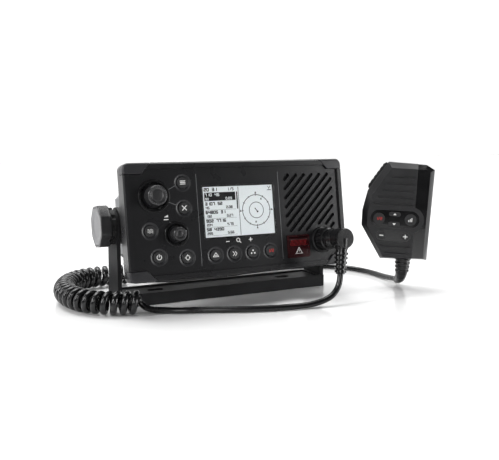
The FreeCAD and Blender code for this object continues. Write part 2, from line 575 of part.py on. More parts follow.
def make_alarm_group():
    """A framed well with a sprung cover hinged along its top, and the key beneath it."""
    frame_block = block("alarm_frame_block", *alarm_box("0", FACE + " - sizes.alarm_proud",
                                                        FACE + " + sizes.alarm_depth"))
    well = block("alarm_well", *alarm_box("-sizes.alarm_rim", FACE + " - sizes.alarm_proud - 1",
                                          FACE + " + sizes.alarm_depth - 1.2"))
    hole = rod("alarm_key_hole", "y", "sizes.alarm_height / 2 - 4.3", "4", "sizes.alarm_x",
               FACE + " + sizes.alarm_depth - 2", "sizes.alarm_z")
    pin_height = "sizes.alarm_z + sizes.alarm_height / 2 - sizes.alarm_rim - 1.6"
    pin_depth = FACE + " - sizes.alarm_proud + 1.1"
    ears = rod("alarm_pin", "x", "sizes.hinge_pin_radius", "sizes.alarm_width - 0.8",
               "sizes.alarm_x - sizes.alarm_width / 2 + 0.4", pin_depth, pin_height)
    corner = eased("Part::Fillet", "alarm_frame_rounded", frame_block, "1.6",
                   lambda edge: runs_along(edge, Y_AXIS))
    frame_cut = cut("alarm_frame_cut", corner, [well, hole])
    low_x, high_x, low_y, high_y, low_z, high_z = alarm_box(
        "sizes.alarm_lip", PANEL_BACK, PANEL_BACK + " + 1.2")
    lip = block("alarm_lip_plate", low_x, high_x, low_y, high_y, low_z, high_z)
    lip_hole = block("alarm_lip_hole", *alarm_box("-sizes.alarm_rim", PANEL_BACK + " - 1",
                                                  PANEL_BACK + " + 3"))
    rim = cut("alarm_lip_ring", lip, [lip_hole])
    keep(seat(fused("alarm_frame_whole", [frame_cut, rim, ears]), chassis), "alarm_frame")
    grow = "-(sizes.alarm_rim + sizes.cover_gap)"
    low_x, high_x, _, _, low_z, high_z = alarm_box(grow, "0", "0")
    plate = block("cover_plate", low_x, high_x, FACE + " - sizes.alarm_proud + 0.1",
                  FACE + " - sizes.alarm_proud + 0.1 + sizes.cover_thickness", low_z,
                  pin_height + " - 0.2")
    barrel = rod("cover_barrel", "x", "sizes.hinge_pin_radius + 0.55", "(%s) - (%s)" % (high_x, low_x),
                 low_x, pin_depth, pin_height)
    lift = block("cover_lip", "sizes.alarm_x - 4", "sizes.alarm_x + 4",
                 FACE + " - sizes.alarm_proud - 0.9", FACE + " - sizes.alarm_proud + 0.2",
                 low_z, low_z + " + 1.1")
    bore = rod("cover_bore", "x", "sizes.hinge_pin_radius + 0.06", "sizes.alarm_width + 2",
               "sizes.alarm_x - sizes.alarm_width / 2 - 1", pin_depth, pin_height)
    cover = cut("alarm_cover", fused("cover_blank", [plate, barrel, lift]), [bore])
    keep(seat(cover, chassis), "alarm_cover")
    stem = "sizes.alarm_height / 2 - 4.5"
    key = turned("alarm_key_body", (
        ("0", "0"), (stem + " + 0.9", "0"), (stem + " + 0.9", "0.8"), (stem, "0.8"),
        (stem, "3.6"), (stem + " - 0.5", "4.1"), ("0", "4.1")))
    seat(key, chassis, "sizes.alarm_x; %s + sizes.alarm_depth + 0.9; sizes.alarm_z" % FACE, FORWARD)
    keep(key, "alarm_key")


def make_socket_and_plug():
    """A threaded panel socket, its coupling nut, and the angled plug with a ribbed relief."""
    collar, barrel = "sizes.socket_collar_radius", "sizes.socket_barrel_radius"
    proud = "sizes.panel_thickness + 4"
    socket = turned("socket_body", (
        ("0", "0"), (barrel + " + 2", "0"), (barrel + " + 2", "3.9"), (barrel, "3.9"),
        (barrel, proud), (collar, proud), (collar, proud + " + sizes.socket_collar_proud - 0.8"),
        (collar + " - 0.8", proud + " + sizes.socket_collar_proud"),
        (collar + " - 2.4", proud + " + sizes.socket_collar_proud"),
        (collar + " - 3", proud + " + 0.6"), (barrel, proud + " + 0.6"),
        (barrel, proud + " + sizes.socket_barrel_proud"),
        ("sizes.socket_bore", proud + " + sizes.socket_barrel_proud"),
        ("sizes.socket_bore", "3"), ("0", "3")))
    seat(socket, chassis, "sizes.socket_x; %s + %s; sizes.socket_z" % (FACE, proud), FORWARD)
    keep(socket, "handset_socket")
    start = "sizes.socket_collar_proud + 0.3"
    neck_from = start + " + sizes.nut_length + 0.1"
    head_from = "(%s + sizes.neck_length)" % neck_from
    nut = turned("nut_body", (
        (barrel + " + sizes.nut_gap", start), ("sizes.nut_radius - 0.6", start),
        ("sizes.nut_radius", start + " + 0.6"),
        ("sizes.nut_radius", start + " + sizes.nut_length - 0.8"),
        ("sizes.nut_radius - 0.8", start + " + sizes.nut_length"),
        (barrel + " + sizes.nut_gap", start + " + sizes.nut_length")))
    grips = []
    groove_width = value("sizes.nut_groove")
    for number in range(18):
        groove = Part.makeBox(groove_width, groove_width, value("sizes.nut_length") - 1.6)
        groove.translate(Vector(-groove_width / 2, -groove_width / 2, value(start) + 0.8))
        groove.rotate(Vector(), Z_AXIS, 45)
        groove.translate(Vector(value("sizes.nut_radius") + 0.15, 0, 0))
        groove.rotate(Vector(), Z_AXIS, 20 * number)
        grips.append(groove)
    ribbed = cut("coupling_nut", nut, [shaped("nut_grooves", Part.makeCompound(grips))])
    seat(ribbed, chassis, "sizes.socket_x; %s; sizes.socket_z" % FACE, FORWARD)
    keep(ribbed, "coupling_nut")
    neck, head = "sizes.neck_radius", "sizes.head_radius"
    profile = [("0", start + " + sizes.nut_length - 5"),
               ("sizes.socket_bore - 0.2", start + " + sizes.nut_length - 5"),
               ("sizes.socket_bore - 0.2", neck_from), (neck, neck_from)]
    for number in range(3):
        ring = "%s + %s" % (neck_from, 4.2 + 2.0 * number)
        profile += [(neck, ring), (neck + " - 0.7", ring + " + 0.6"), (neck, ring + " + 1.2")]
    profile += [(neck, head_from), (head, head_from), (head, head_from + " + sizes.head_length - 0.6"),
                (head + " - 0.6", head_from + " + sizes.head_length"),
                ("0", head_from + " + sizes.head_length")]
    barrel_part = turned("plug_barrel", profile)
    tail = cone("plug_tail", "y", "sizes.relief_thick + 0.6", "sizes.relief_thick + 1.1",
                "sizes.relief_top", "0", "-sizes.relief_top",
                head_from + " + sizes.head_length / 2")
    whole = fused("plug_body", [barrel_part, tail])
    lean = "rotation(vector(0; 1; 0); sizes.relief_lean)"
    seat(whole, chassis, "sizes.socket_x; %s; sizes.socket_z" % FACE,
         "%s * %s" % (lean, FORWARD))
    keep(whole, "plug_body")
    thick, thin, rib = "sizes.relief_thick", "sizes.relief_thin", "sizes.relief_rib"
    length, pitch = "sizes.relief_length", "sizes.relief_pitch"
    corners = [("0", "0"), (thin, "0")]
    for number in range(5):
        low = "%s + %s * %d" % ("1.2", pitch, number)
        core = "%s + (%s - %s) * %f" % (thin, thick, thin, (number + 0.5) / 5)
        corners += [(core, low), (core + " + " + rib + " * 0.75", low),
                    (core + " + " + rib + " * 0.75", low + " + " + pitch + " * 0.5"),
                    (core, low + " + " + pitch + " * 0.5")]
    corners += [(thick, length), ("0", length)]
    relief = turned("relief_body", corners)
    drop = "(sizes.relief_top + %s)" % length
    bind(relief, Placement=(
        "chassis_frame.Placement * placement(vector(sizes.socket_x; %s; sizes.socket_z); %s)"
        " * placement(vector(0; -(%s + sizes.head_length / 2); -%s); rotation(vector(0; 0; 1); 0))"
        % (FACE, lean, head_from, drop)))
    keep(relief, "plug_relief")


def make_rear_housing():
    """An eight-sided cast box with a flange, pivot bosses, and cooling fins on its back."""
    half_w, half_h, chamfer = "sizes.rear_width / 2", "sizes.rear_height / 2", "sizes.rear_chamfer"
    start = BEZEL_BACK + " + sizes.gasket_thickness"
    corners = []
    for sign_x, sign_z, first in ((1, -1, 0), (1, 1, 1), (-1, 1, 0), (-1, -1, 1)):
        side = ("%s(%s)" % ("-" if sign_x < 0 else "", half_w),
                "%s(%s - %s)" % ("-" if sign_z < 0 else "", half_h, chamfer))
        level = ("%s(%s - %s)" % ("-" if sign_x < 0 else "", half_w, chamfer),
                 "%s(%s)" % ("-" if sign_z < 0 else "", half_h))
        corners += [level, side] if first == 0 else [side, level]
    box = padded("rear_box", "XZ_Plane", corners, "sizes.rear_reach - (%s)" % start, True)
    seat(box, None, "0; %s; 0" % start)
    flange = block("rear_flange", "-%s / 2" % FLANGE_WIDTH, FLANGE_WIDTH + " / 2", start,
                   start + " + sizes.flange_thickness", "-sizes.flange_height / 2",
                   "sizes.flange_height / 2")
    flange_soft = eased("Part::Fillet", "rear_flange_rounded", flange, "4",
                        lambda edge: runs_along(edge, Y_AXIS))
    hollow = block("rear_hollow", "-(%s) + sizes.rear_wall" % half_w,
                   "%s - sizes.rear_wall" % half_w, start + " - 1",
                   "sizes.rear_reach - sizes.fin_depth - sizes.rear_wall",
                   "-(%s) + sizes.rear_chamfer" % half_h, "%s - sizes.rear_chamfer" % half_h)
    grooves = []
    count = int(value("sizes.fin_span") / value("sizes.fin_pitch"))
    for number in range(count + 1):
        x = (number - count / 2) * value("sizes.fin_pitch")
        groove = Part.makeBox(value("sizes.fin_gap"), value("sizes.fin_depth") + 1,
                              value("sizes.rear_height") + 2)
        groove.translate(Vector(x - value("sizes.fin_gap") / 2,
                                value("sizes.rear_reach - sizes.fin_depth"),
                                -value("sizes.rear_height") / 2 - 1))
        if all(abs(x - value(port)) > 14 for port in ("sizes.antenna_x", "sizes.inlet_x")):
            grooves.append(groove)
    fins = shaped("fin_grooves", Part.makeCompound(grooves))
    stud_holes = rod("stud_holes", "x", "sizes.stud_radius + sizes.stud_fit",
                     "2 * %s + 2" % BOSS_REACH, "-%s - 1" % BOSS_REACH)
    ports = [rod("%s_port" % label, "y", radius, "sizes.fin_depth + sizes.rear_wall + 4", x,
                 "sizes.rear_reach - sizes.fin_depth - sizes.rear_wall - 1", "sizes.rear_port_z")
             for label, x, radius in (("antenna", "sizes.antenna_x", "sizes.antenna_stem + sizes.port_gap"),
                                      ("inlet", "sizes.inlet_x", "sizes.inlet_stem + sizes.port_gap"))]
    clear = "sizes.screw_radius + sizes.screw_gap"
    screw_holes = [rod("case_screw_hole%d" % number, "y", clear, "12", x, start + " - 1", z)
                   for number, (x, z) in enumerate(CASE_SCREWS)]
    core = cut("rear_core", fused("rear_blank", [box, flange_soft]), [hollow])
    plugs = cut("rear_shell", fused("rear_with_bosses", [core, boss_stubs()]), [stud_holes, fins]
                + ports + screw_holes)
    keep(seat(plugs, chassis), "rear_housing")
    gasket_outer = block("gasket_outer", "-%s / 2 + 1" % FLANGE_WIDTH, FLANGE_WIDTH + " / 2 - 1",
                         BEZEL_BACK, start, "-sizes.flange_height / 2 + 1",
                         "sizes.flange_height / 2 - 1")
    gasket_inner = block("gasket_inner", "-%s / 2 + 9" % FLANGE_WIDTH, FLANGE_WIDTH + " / 2 - 9",
                         BEZEL_BACK + " - 1", start + " + 1", "-sizes.flange_height / 2 + 4",
                         "sizes.flange_height / 2 - 4")
    gasket_holes = [rod("gasket_hole%d" % number, "y", clear, "4", x, BEZEL_BACK + " - 1", z)
                    for number, (x, z) in enumerate(CASE_SCREWS)]
    keep(seat(cut("case_gasket", gasket_outer, [gasket_inner] + gasket_holes), chassis),
         "case_gasket")


CASE_SCREWS = tuple((sign_x + FLANGE_WIDTH + " / 2 %s 5" % ("+" if sign_x else "-"),
                     sign_z + "sizes.flange_height / 2 %s 6" % ("+" if sign_z else "-"))
                    for sign_x in ("-", "") for sign_z in ("-", ""))


def boss_stubs():
    """The two round pivot bosses on the sides of the box."""
    reach, wall = BOSS_REACH, "sizes.rear_width / 2 - sizes.rear_wall - 6"
    left = rod("boss_left", "x", "sizes.boss_radius", "%s - (%s)" % (reach, wall), "-" + reach)
    right = rod("boss_right", "x", "sizes.boss_radius", "%s - (%s)" % (reach, wall), wall)
    return fused("boss_pair", [left, right])


def make_rear_fittings():
    """Antenna socket and cable inlet in the back, the case screws and the circuit board."""
    wall = "sizes.fin_depth + sizes.rear_wall"
    stem, outer, end = "sizes.antenna_stem", "sizes.antenna_radius", wall + " + sizes.antenna_length"
    antenna = turned("antenna_body", (
        ("2.2", "0"), (stem, "0"), (stem, wall), (outer + " + 1.9", wall),
        (outer + " + 1.9", wall + " + 2"), (outer, wall + " + 2"), (outer, end + " - 0.6"),
        (outer + " - 0.6", end), ("sizes.antenna_bore", end), ("sizes.antenna_bore", wall + " + 5"),
        ("2.2", wall + " + 5")))
    back = "rotation(vector(1; 0; 0); -90)"
    depth = "sizes.rear_reach - sizes.fin_depth - sizes.rear_wall"
    seat(antenna, chassis, "sizes.antenna_x; %s; sizes.rear_port_z" % depth, back)
    keep(antenna, "antenna_socket")
    stem, bore = "sizes.inlet_stem", "sizes.inlet_bore"
    inlet = turned("inlet_body", (
        (bore, "0"), (stem, "0"), (stem, wall), (stem + " + 1.6", wall),
        (stem + " + 1.6", wall + " + 2.4"), (stem + " - 0.6", wall + " + 3.4"),
        (bore + " + 1.8", wall + " + sizes.inlet_length"), (bore, wall + " + sizes.inlet_length")))
    seat(inlet, chassis, "sizes.inlet_x; %s; sizes.rear_port_z" % depth, back)
    keep(inlet, "power_inlet")
    screws = []
    start = BEZEL_BACK + " + sizes.gasket_thickness + sizes.flange_thickness"
    for number, (x, z) in enumerate(CASE_SCREWS):
        under = "sizes.screw_grip + sizes.gasket_thickness + sizes.flange_thickness"
        screw = turned("case_screw%d" % number, (
            ("0", "0.2"), ("sizes.screw_radius", "0.2"), ("sizes.screw_radius", under),
            ("sizes.screw_radius + 1.3", under), ("sizes.screw_radius + 1", under + " + 1.7"),
            ("0", under + " + 1.7")))
        seat(screw, None, "%s; %s - (%s); %s" % (x, start, under, z), back)
        screws.append(screw)
    keep(seat(fused("case_screws", screws), chassis), "case_screws")
    board = block("board_plate", "-sizes.rear_width / 2 + sizes.rear_wall + 7",
                  "sizes.rear_width / 2 - sizes.rear_wall - 7", "-12", "-10.4",
                  "-sizes.rear_height / 2 + sizes.rear_chamfer + 1",
                  "sizes.rear_height / 2 - sizes.rear_chamfer - 1")
    can = block("board_can", "-44", "-8", "-10.4", "-5", "-12", "14")
    power = block("board_power", "8", "48", "-10.4", "2", "-14", "8")
    keep(seat(fused("main_board", [board, can, power]), chassis), "main_board")


def make_clamps():
    """Friction washers each side of an arm, and a knob with a pressed stud and an end plate."""
    arm_out = "(sizes.bracket_width / 2)"
    inner = turned("inner_washer", (
        ("sizes.stud_radius + 0.3", "0"), ("sizes.washer_radius", "0"),
        ("sizes.washer_radius", "sizes.inner_washer"),
        ("sizes.stud_radius + 0.3", "sizes.inner_washer")))
    seat(inner, None, BOSS_REACH + "; 0; 0", "rotation(vector(0; 1; 0); 90)")
    washers = fused("friction_washers", [inner, mirrored_x("inner_washer_left", inner)])
    keep(seat(washers, chassis), "friction_washers")
    ring = turned("outer_washer_ring", (
        ("sizes.stud_radius + 0.3", "0"), ("sizes.washer_radius", "0"),
        ("sizes.washer_radius", "sizes.outer_washer"),
        ("sizes.stud_radius + 0.3", "sizes.outer_washer")))
    notches = []
    for number in range(10):
        angle = 2 * math.pi * (number + 0.5) / 10
        notches.append(Part.makeCylinder(2.6, value("sizes.outer_washer") + 2, Vector(
            (value("sizes.washer_radius") + 1.3) * math.cos(angle),
            (value("sizes.washer_radius") + 1.3) * math.sin(angle), -1)))
    lobed = cut("outer_washer_lobed", ring, [shaped("washer_notches", Part.makeCompound(notches))])
    seat(lobed, None, arm_out + "; 0; 0", "rotation(vector(0; 1; 0); 90)")
    pair = fused("lobed_washers", [lobed, mirrored_x("outer_washer_left", lobed)])
    keep(seat(pair, None, "0; 0; sizes.pivot_height"), "lobed_washers")
    start = "%s + sizes.outer_washer + 0.05" % arm_out
    for side, turn in (("right", "rotation(vector(0; 1; 0); 90)"),
                       ("left", "rotation(vector(0; 1; 0); -90)")):
        sign = "" if side == "right" else "-"
        grip = doc.addObject("Part::Prism", "grip_prism_" + side)
        grip.Polygon = 8
        bind(grip, Circumradius="sizes.clamp_radius", Height="sizes.clamp_length")
        length = value("sizes.clamp_length")
        soft = eased("Part::Chamfer", "grip_soft_" + side, grip, "sizes.clamp_bevel",
                     lambda edge: all(abs(v.Z) < 1e-6 for v in edge.Vertexes)
                     or abs(edge.Vertexes[0].Z - edge.Vertexes[-1].Z) > length / 2)
        seat_hole = doc.addObject("Part::Prism", "insert_pocket_" + side)
        seat_hole.Polygon = 8
        bind(seat_hole, Circumradius="sizes.insert_radius + 0.1", Height="5",
             Placement__Base__z="sizes.clamp_length - sizes.insert_thickness")
        core_hole = rod("stud_pocket_" + side, "z", "sizes.stud_radius", "6", "0", "0", "-1")
        knob = cut("clamp_knob_" + side, soft, [seat_hole, core_hole])
        turned_seat = turn + " * rotation(vector(0; 0; 1); 22.5)"
        seat(knob, chassis, "%s(%s); 0; 0" % (sign, start), turned_seat)
        keep(knob, "clamp_knob_" + side)
        plate = doc.addObject("Part::Prism", "insert_prism_" + side)
        plate.Polygon = 8
        bind(plate, Circumradius="sizes.insert_radius", Height="sizes.insert_thickness")
        dish = cone("insert_dish_" + side, "z", "sizes.insert_radius - 6",
                    "sizes.insert_radius - 2.6", "sizes.insert_dish",
                    "0", "0", "sizes.insert_thickness - sizes.insert_dish")
        insert = cut("clamp_insert_" + side, plate, [dish])
        seat(insert, chassis, "%s(%s + sizes.clamp_length - sizes.insert_thickness); 0; 0"
             % (sign, start), turned_seat)
        keep(insert, "clamp_insert_" + side)
        stud = turned("stud_body_" + side, (
            ("0", "-sizes.stud_grip"), ("sizes.stud_radius - 0.5", "-sizes.stud_grip"),
            ("sizes.stud_radius", "-sizes.stud_grip + 0.5"), ("sizes.stud_radius", "5"),
            ("0", "5")))
        seat(stud, chassis, "%s(%s); 0; 0" % (sign, start), turn)
        keep(stud, "clamp_stud_" + side)


# Handset: outlines are given as (across, up) from the middle of its face

HANDSET_OUTLINE = ((-12.0, -39.0), (25.6, -37.8), (26.6, 36.2), (20.0, 40.0), (-10.2, 40.9),
                   (-25.6, 16.8), (-29.0, 0.5), (-28.8, -12.2))
HANDSET_FACE = ((-9.4, -37.2), (22.4, -36.2), (23.2, 34.6), (19.2, 36.2), (-7.4, 36.4),
                (-21.6, 13.6), (-24.2, 0.0), (-24.2, -11.8))


def ring_face(points, depth):
    """A closed polygon in the XZ plane at a depth, as a wire."""
    corners = [Vector(x, depth, z) for x, z in points]
    return Part.makePolygon(corners + corners[:1])


def drawn_in(points, share):
    """An outline pulled towards its middle."""
    return tuple((x * share, z * share) for x, z in points)


def handset_blank():
    """The whole body: a bevelled front, a straight waist and a tapered back."""
    bevel, split = value("sizes.handset_bevel_depth"), value("sizes.handset_split")
    depth, taper = value("sizes.handset_depth"), value("sizes.handset_back_taper")
    front = Part.makeLoft([ring_face(HANDSET_FACE, 0), ring_face(HANDSET_OUTLINE, bevel)],
                          True, True)
    waist = Part.Face(ring_face(HANDSET_OUTLINE, bevel)).extrude(Vector(0, split - bevel, 0))
    back = Part.makeLoft([ring_face(HANDSET_OUTLINE, split),
                          ring_face(drawn_in(HANDSET_OUTLINE, 1 - taper / 27), depth)], True, True)
    return front.fuse(waist).removeSplitter(), back


def talk_bar(gap, room):
    """The talk bar lies along the upper left slope of the outline; room is what it moves in."""
    low, high = Vector(*xz(HANDSET_OUTLINE[5])), Vector(*xz(HANDSET_OUTLINE[4]))
    along = (high - low).normalize()
    out = Vector(-along.z, 0, along.x)
    start = low + along * (1.6 - gap)
    end = high - along * (1.6 - gap)
    inner, outer = -(value("sizes.talk_depth") + room), value("sizes.talk_proud")
    near = value("sizes.handset_split") - value("sizes.talk_width") / 2 + 3 - gap
    far = near + value("sizes.talk_width") + 2 * gap
    corners = [start + out * inner, end + out * inner, end + out * (outer * 0.45),
               end - along * 2.5 + out * outer, start + along * 2.5 + out * outer,
               start + out * (outer * 0.45)]
    points = [Vector(corner.x, near, corner.z) for corner in corners]
    bar = Part.Face(Part.makePolygon(points + points[:1])).extrude(Vector(0, far - near, 0))
    return bar, out, start, end


def xz(pair):
    """A point of the XZ plane as three coordinates."""
    return pair[0], 0, pair[1]


def make_handset():
    front, back = handset_blank()
    split, depth = value("sizes.handset_split"), value("sizes.handset_depth")
    wall = value("sizes.handset_wall")
    inner = drawn_in(HANDSET_OUTLINE, 1 - (wall + 3) / 27)
    room = Part.Face(ring_face(inner, wall + 3)).extrude(Vector(0, depth - 2 * wall - 3.5, 0))
    edge, bulge = value("sizes.band_edge"), value("sizes.band_bulge")
    beyond = 2 * depth
    band_box = Part.makeBox(beyond, split + 2, 2 * beyond, Vector(edge, -1, -beyond))
    key_right = HANDSET_KEYS[1]
    band_round = Part.makeCylinder(bulge, split + 2, Vector(key_right[1], -1, key_right[2]), Y_AXIS)
    notch = Part.makeCylinder(bulge, split + 2, Vector(key_right[1], -1, key_right[2]), Y_AXIS)
    band_zone = band_box.cut(notch)
    pocket = talk_bar(0.2, value("sizes.talk_travel") + 0.2)[0]
    shell = front.cut(band_zone).cut(room).cut(pocket)
    band = front.common(band_zone).cut(room)
    holes = []
    for _, x, z, kind in HANDSET_KEYS:
        holes.append(key_prism(x, z, kind, value("sizes.handset_key_gap"), -1, wall + 6))
    width = value("sizes.mic_slot_width")
    right = value("sizes.mic_slot_right")
    for number in range(7):
        z = value("sizes.mic_slot_top") - number * value("sizes.mic_slot_pitch")
        left = -6.1 - 3.27 * number
        if number > 4:
            z = -26.9 - (number - 5) * value("sizes.mic_slot_pitch")
            left = -12.3 + 4.4 * (number - 5)
        holes.append(stadium(Vector(left, 0, z), Vector(right, 0, z), width, -1, 1.2))
    panel = stadium(Vector(-14.6, 0, -5.3), Vector(10.4, 0, -5.0), 14.2, -1, 0.7)
    strip = stadium(Vector(-12.0, 0, -19.0), Vector(7.2, 0, -19.0), 8.8, -1, 0.6)
    capsule = Part.makeCylinder(value("sizes.microphone_radius"), value("sizes.microphone_depth"),
                                Vector(2.5, wall + 0.5, -29.6), Y_AXIS)
    relief = handset_relief(value("sizes.handset_relief_x"))
    shell = shell.cut(Part.makeCompound(holes)).cut(panel.fuse(strip)).cut(capsule).cut(relief)
    shell = shell.removeSplitter()
    keep(seat(shaped("handset_front", shell), handset), "handset_front")
    keep(seat(shaped("handset_band", band), handset), "handset_band")
    rear = back.cut(room).cut(pocket).cut(relief)
    stem, stem_gap = value("sizes.hang_stem"), value("sizes.hang_gap")
    hang_at = value("sizes.hang_z")
    stud_hole = Part.makeCylinder(stem + stem_gap, 8, Vector(-1, depth - 4, hang_at), Y_AXIS)
    keep(seat(shaped("handset_back", rear.cut(stud_hole)), handset), "handset_back")
    hang = Part.makeCylinder(stem, 6, Vector(-1, depth - 3.4, hang_at), Y_AXIS)
    hang = hang.fuse(Part.makeCylinder(value("sizes.hang_head"), value("sizes.hang_thickness"),
                                       Vector(-1, depth + 2.6, hang_at), Y_AXIS))
    keep(seat(shaped("hang_button", hang.removeSplitter()), handset), "hang_button")
    bar, out, start, end = talk_bar(0, 0)
    grooves = []
    for number in range(1, 6):
        spot = start + (end - start) * (number / 6) + out * (value("sizes.talk_proud") + 0.5)
        grooves.append(Part.makeCylinder(1.0, beyond, Vector(spot.x, -5, spot.z), Y_AXIS))
    lever = bar.cut(Part.makeCompound(grooves))
    keep(seat(shaped("talk_bar", lever), handset), "talk_bar")
    for label, x, z, kind in HANDSET_KEYS:
        proud = value("sizes.handset_key_proud")
        cap = key_prism(x, z, kind, 0, 0.7 - proud, wall + 3.6)
        stop = key_prism(x, z, kind, 0.5, wall + 3.05, wall + 3.6)
        keep(seat(shaped(label, cap.fuse(stop).removeSplitter()), handset), label)
    back = wall + 4.5 + value("sizes.handset_key_travel")
    board = Part.Face(ring_face(drawn_in(HANDSET_OUTLINE, 0.66), back)).extrude(Vector(0, 1.6, 0))
    keep(seat(shaped("handset_board", board), handset), "handset_board")
    keep(seat(shaped("microphone", capsule), handset), "microphone")
    keep(seat(shaped("handset_relief", relief), handset), "handset_relief")


HANDSET_KEYS = (
    ("handset_calling_key", -14.8, -5.4, "round"), ("handset_power_level_key", 10.5, -5.0, "round"),
    ("handset_up_key", -2.3, -1.1, "pill"), ("handset_down_key", -2.4, -9.2, "pill"),
    ("handset_minus_key", -12.0, -19.0, "small"), ("handset_plus_key", 7.2, -19.0, "small"),
)


def key_prism(x, z, kind, gap, near, far):
    """The outline of one handset key between two depths."""
    if kind == "pill":
        reach = (value("sizes.pill_length") - value("sizes.pill_width")) / 2
        return stadium(Vector(x - reach, 0, z), Vector(x + reach, 0, z),
                       value("sizes.pill_width") + 2 * gap, near, far)
    name = "sizes.handset_key_radius" if kind == "round" else "sizes.small_key_radius"
    return Part.makeCylinder(value(name) + gap, far - near, Vector(x, near, z), Y_AXIS)


def handset_relief(relief_x):
    """A tapered sleeve that leaves the handset downward and turns to lie along the floor."""
    exit_point = handset.Placement.inverse().multVec(RELIEF_EXIT)
    heading = handset.Placement.Rotation.inverted().multVec(RELIEF_HEADING)
    top = Vector(relief_x, value("sizes.handset_depth / 2"), -36.6)
    line = Part.BSplineCurve()
    line.interpolate([top, top - Z_AXIS * 13, exit_point], Tangents=[
        Z_AXIS * -26, Z_AXIS * -20 + heading * 6, heading * 30], TangentFlags=[True, True, True])
    thick, thin = value("sizes.handset_relief_thick"), value("sizes.handset_relief_thin")
    rings, count = [], 8
    for number in range(count + 1):
        share = number / count
        place = line.parameterAtDistance(line.length() * share, line.FirstParameter)
        rings.append(many_sided(line.value(place), line.tangent(place)[0],
                                thick + (thin - thick) * share, 14))
    return Part.makeLoft(rings, True, True)


RELIEF_EXIT = Vector(149.0, -36.0, 4.2)
RELIEF_HEADING = Vector(0.1, 1.0, -0.1).normalize()


# Cord: a plain lead from the plug, the curls, and a plain lead back to the handset

COIL_LINE = ((-68, -38.5), (-92, -34.5), (-112, -20), (-121, 2), (-121, 26), (-113, 49),
             (-97, 64), (-76, 68), (-44, 65))
FRONT_LEAD = ((60.2, -76.6, 10.4), (53.6, -76.8, 5.6), (38.6, -75.8, 2.3), (20.0, -73.0, 2.3),
              (0.0, -68.5, 2.3), (-20.0, -61.0, 2.3), (-40.0, -52.0, 2.3))
REAR_LEAD = ((151.4, -14.0, 2.3), (152.2, 2.0, 2.3), (149.5, 20.0, 2.3), (142.0, 36.5, 2.3),
             (129.0, 49.0, 2.3), (111.0, 57.0, 2.3), (88.0, 60.0, 2.3), (60.0, 58.0, 2.3),
             (30.0, 54.0, 2.3), (4.0, 52.0, 2.3), (-18.0, 54.0, 2.3))


def coil_axis():
    """The line that the curls run along, as a smooth curve at half the coil's height."""
    height = value("sizes.coil_outer / 2")
    poles = [Vector(x, y, height) for x, y in COIL_LINE]
    curve = Part.BSplineCurve()
    curve.buildFromPolesMultsKnots(poles, [3] + [1] * (len(poles) - 3) + [3],
                                   list(range(len(poles) - 1)), False, 2)
    return curve


def coil_wire():
    """The wire's place after a number of turns, and how many turns there are.

    The first and last part of a turn is drawn out, so that the wire arrives along the coil.
    """
    curve = coil_axis()
    length, drawn = curve.length(), value("sizes.coil_drawn_end")
    share = value("sizes.coil_drawn_turns")
    turns = round((length - 2 * drawn) / value("sizes.coil_pitch"))
    pitch = (length - 2 * drawn) / turns
    radius = value("(sizes.coil_outer - sizes.cord_diameter) / 2")

    def eased_end(turn):
        return drawn * (1 - (1 - min(turn / share, 1)) ** 3)

    def place(turn):
        along = pitch * turn + eased_end(turn) + drawn - eased_end(turns - turn)
        inside = min(max(along, 0), length)
        parameter = curve.parameterAtDistance(inside, curve.FirstParameter)
        ahead = curve.tangent(parameter)[0]
        side = ahead.cross(Z_AXIS)
        angle = 2 * math.pi * turn - math.pi / 2
        return (curve.value(parameter) + ahead * (along - inside)
                + side * (radius * math.cos(angle)) + Z_AXIS * (radius * math.sin(angle)))

    return place, turns


def helix_points():
    """Points on the wire four to a turn, closer at the drawn out ends, with its direction."""
    place, turns = coil_wire()
    close = [0.0, 0.06, 0.12, 0.2, 0.3, 0.45]
    spots = close + [0.6 + 0.25 * number for number in range(4 * turns - 4)
                     if 0.6 + 0.25 * number < turns - 0.5]
    spots += [turns - spot for spot in reversed(close)]
    points = [place(spot) for spot in spots]
    step = 1e-4
    headings = [(place(spot + step) - place(spot - step)).normalize() for spot in spots]
    return points, headings, turns


def arc_from(start, corner, end):
    """The arc from start to end that leaves towards corner."""
    middle, half = (start + end) / 2, (end - start).Length / 2
    rise = corner - middle
    if rise.Length < 1e-6:
        return Part.LineSegment(start, end).toShape()
    opening = math.atan2(rise.Length, half)
    return Part.Arc(start, middle + rise.normalize() * (half * math.tan(opening / 2)),
                    end).toShape()


def biarc(start, leaving, end, arriving):
    """Two arcs that join two points with given directions."""
    chord = end - start
    total = leaving + arriving
    square = 2 * (leaving.dot(arriving) - 1)
    linear = -2 * chord.dot(total)
    free = chord.dot(chord)
    if abs(square) < 1e-9:
        reach = -free / linear
    else:
        root = math.sqrt(linear ** 2 - 4 * square * free)
        reach = min(r for r in ((-linear + root) / (2 * square), (-linear - root) / (2 * square))
                    if r > 0)
    first, second = start + leaving * reach, end - arriving * reach
    joint = (first + second) / 2
    return [arc_from(start, first, joint), arc_from(joint, second, end)]


def many_sided(centre, heading, radius, sides):
    """A regular polygon with its corners on a circle, square to a heading."""
    across = heading.cross(Z_AXIS)
    if across.Length < 1e-3:
        across = heading.cross(X_AXIS)
    across.normalize()
    rise = heading.cross(across).normalize()
    corners = [centre + across * (radius * math.cos(2 * math.pi * (n + 0.5) / sides))
               + rise * (radius * math.sin(2 * math.pi * (n + 0.5) / sides)) for n in range(sides)]
    return Part.makePolygon(corners + corners[:1])


CURL_SIDES = 5
LEAD_SIDES = 12


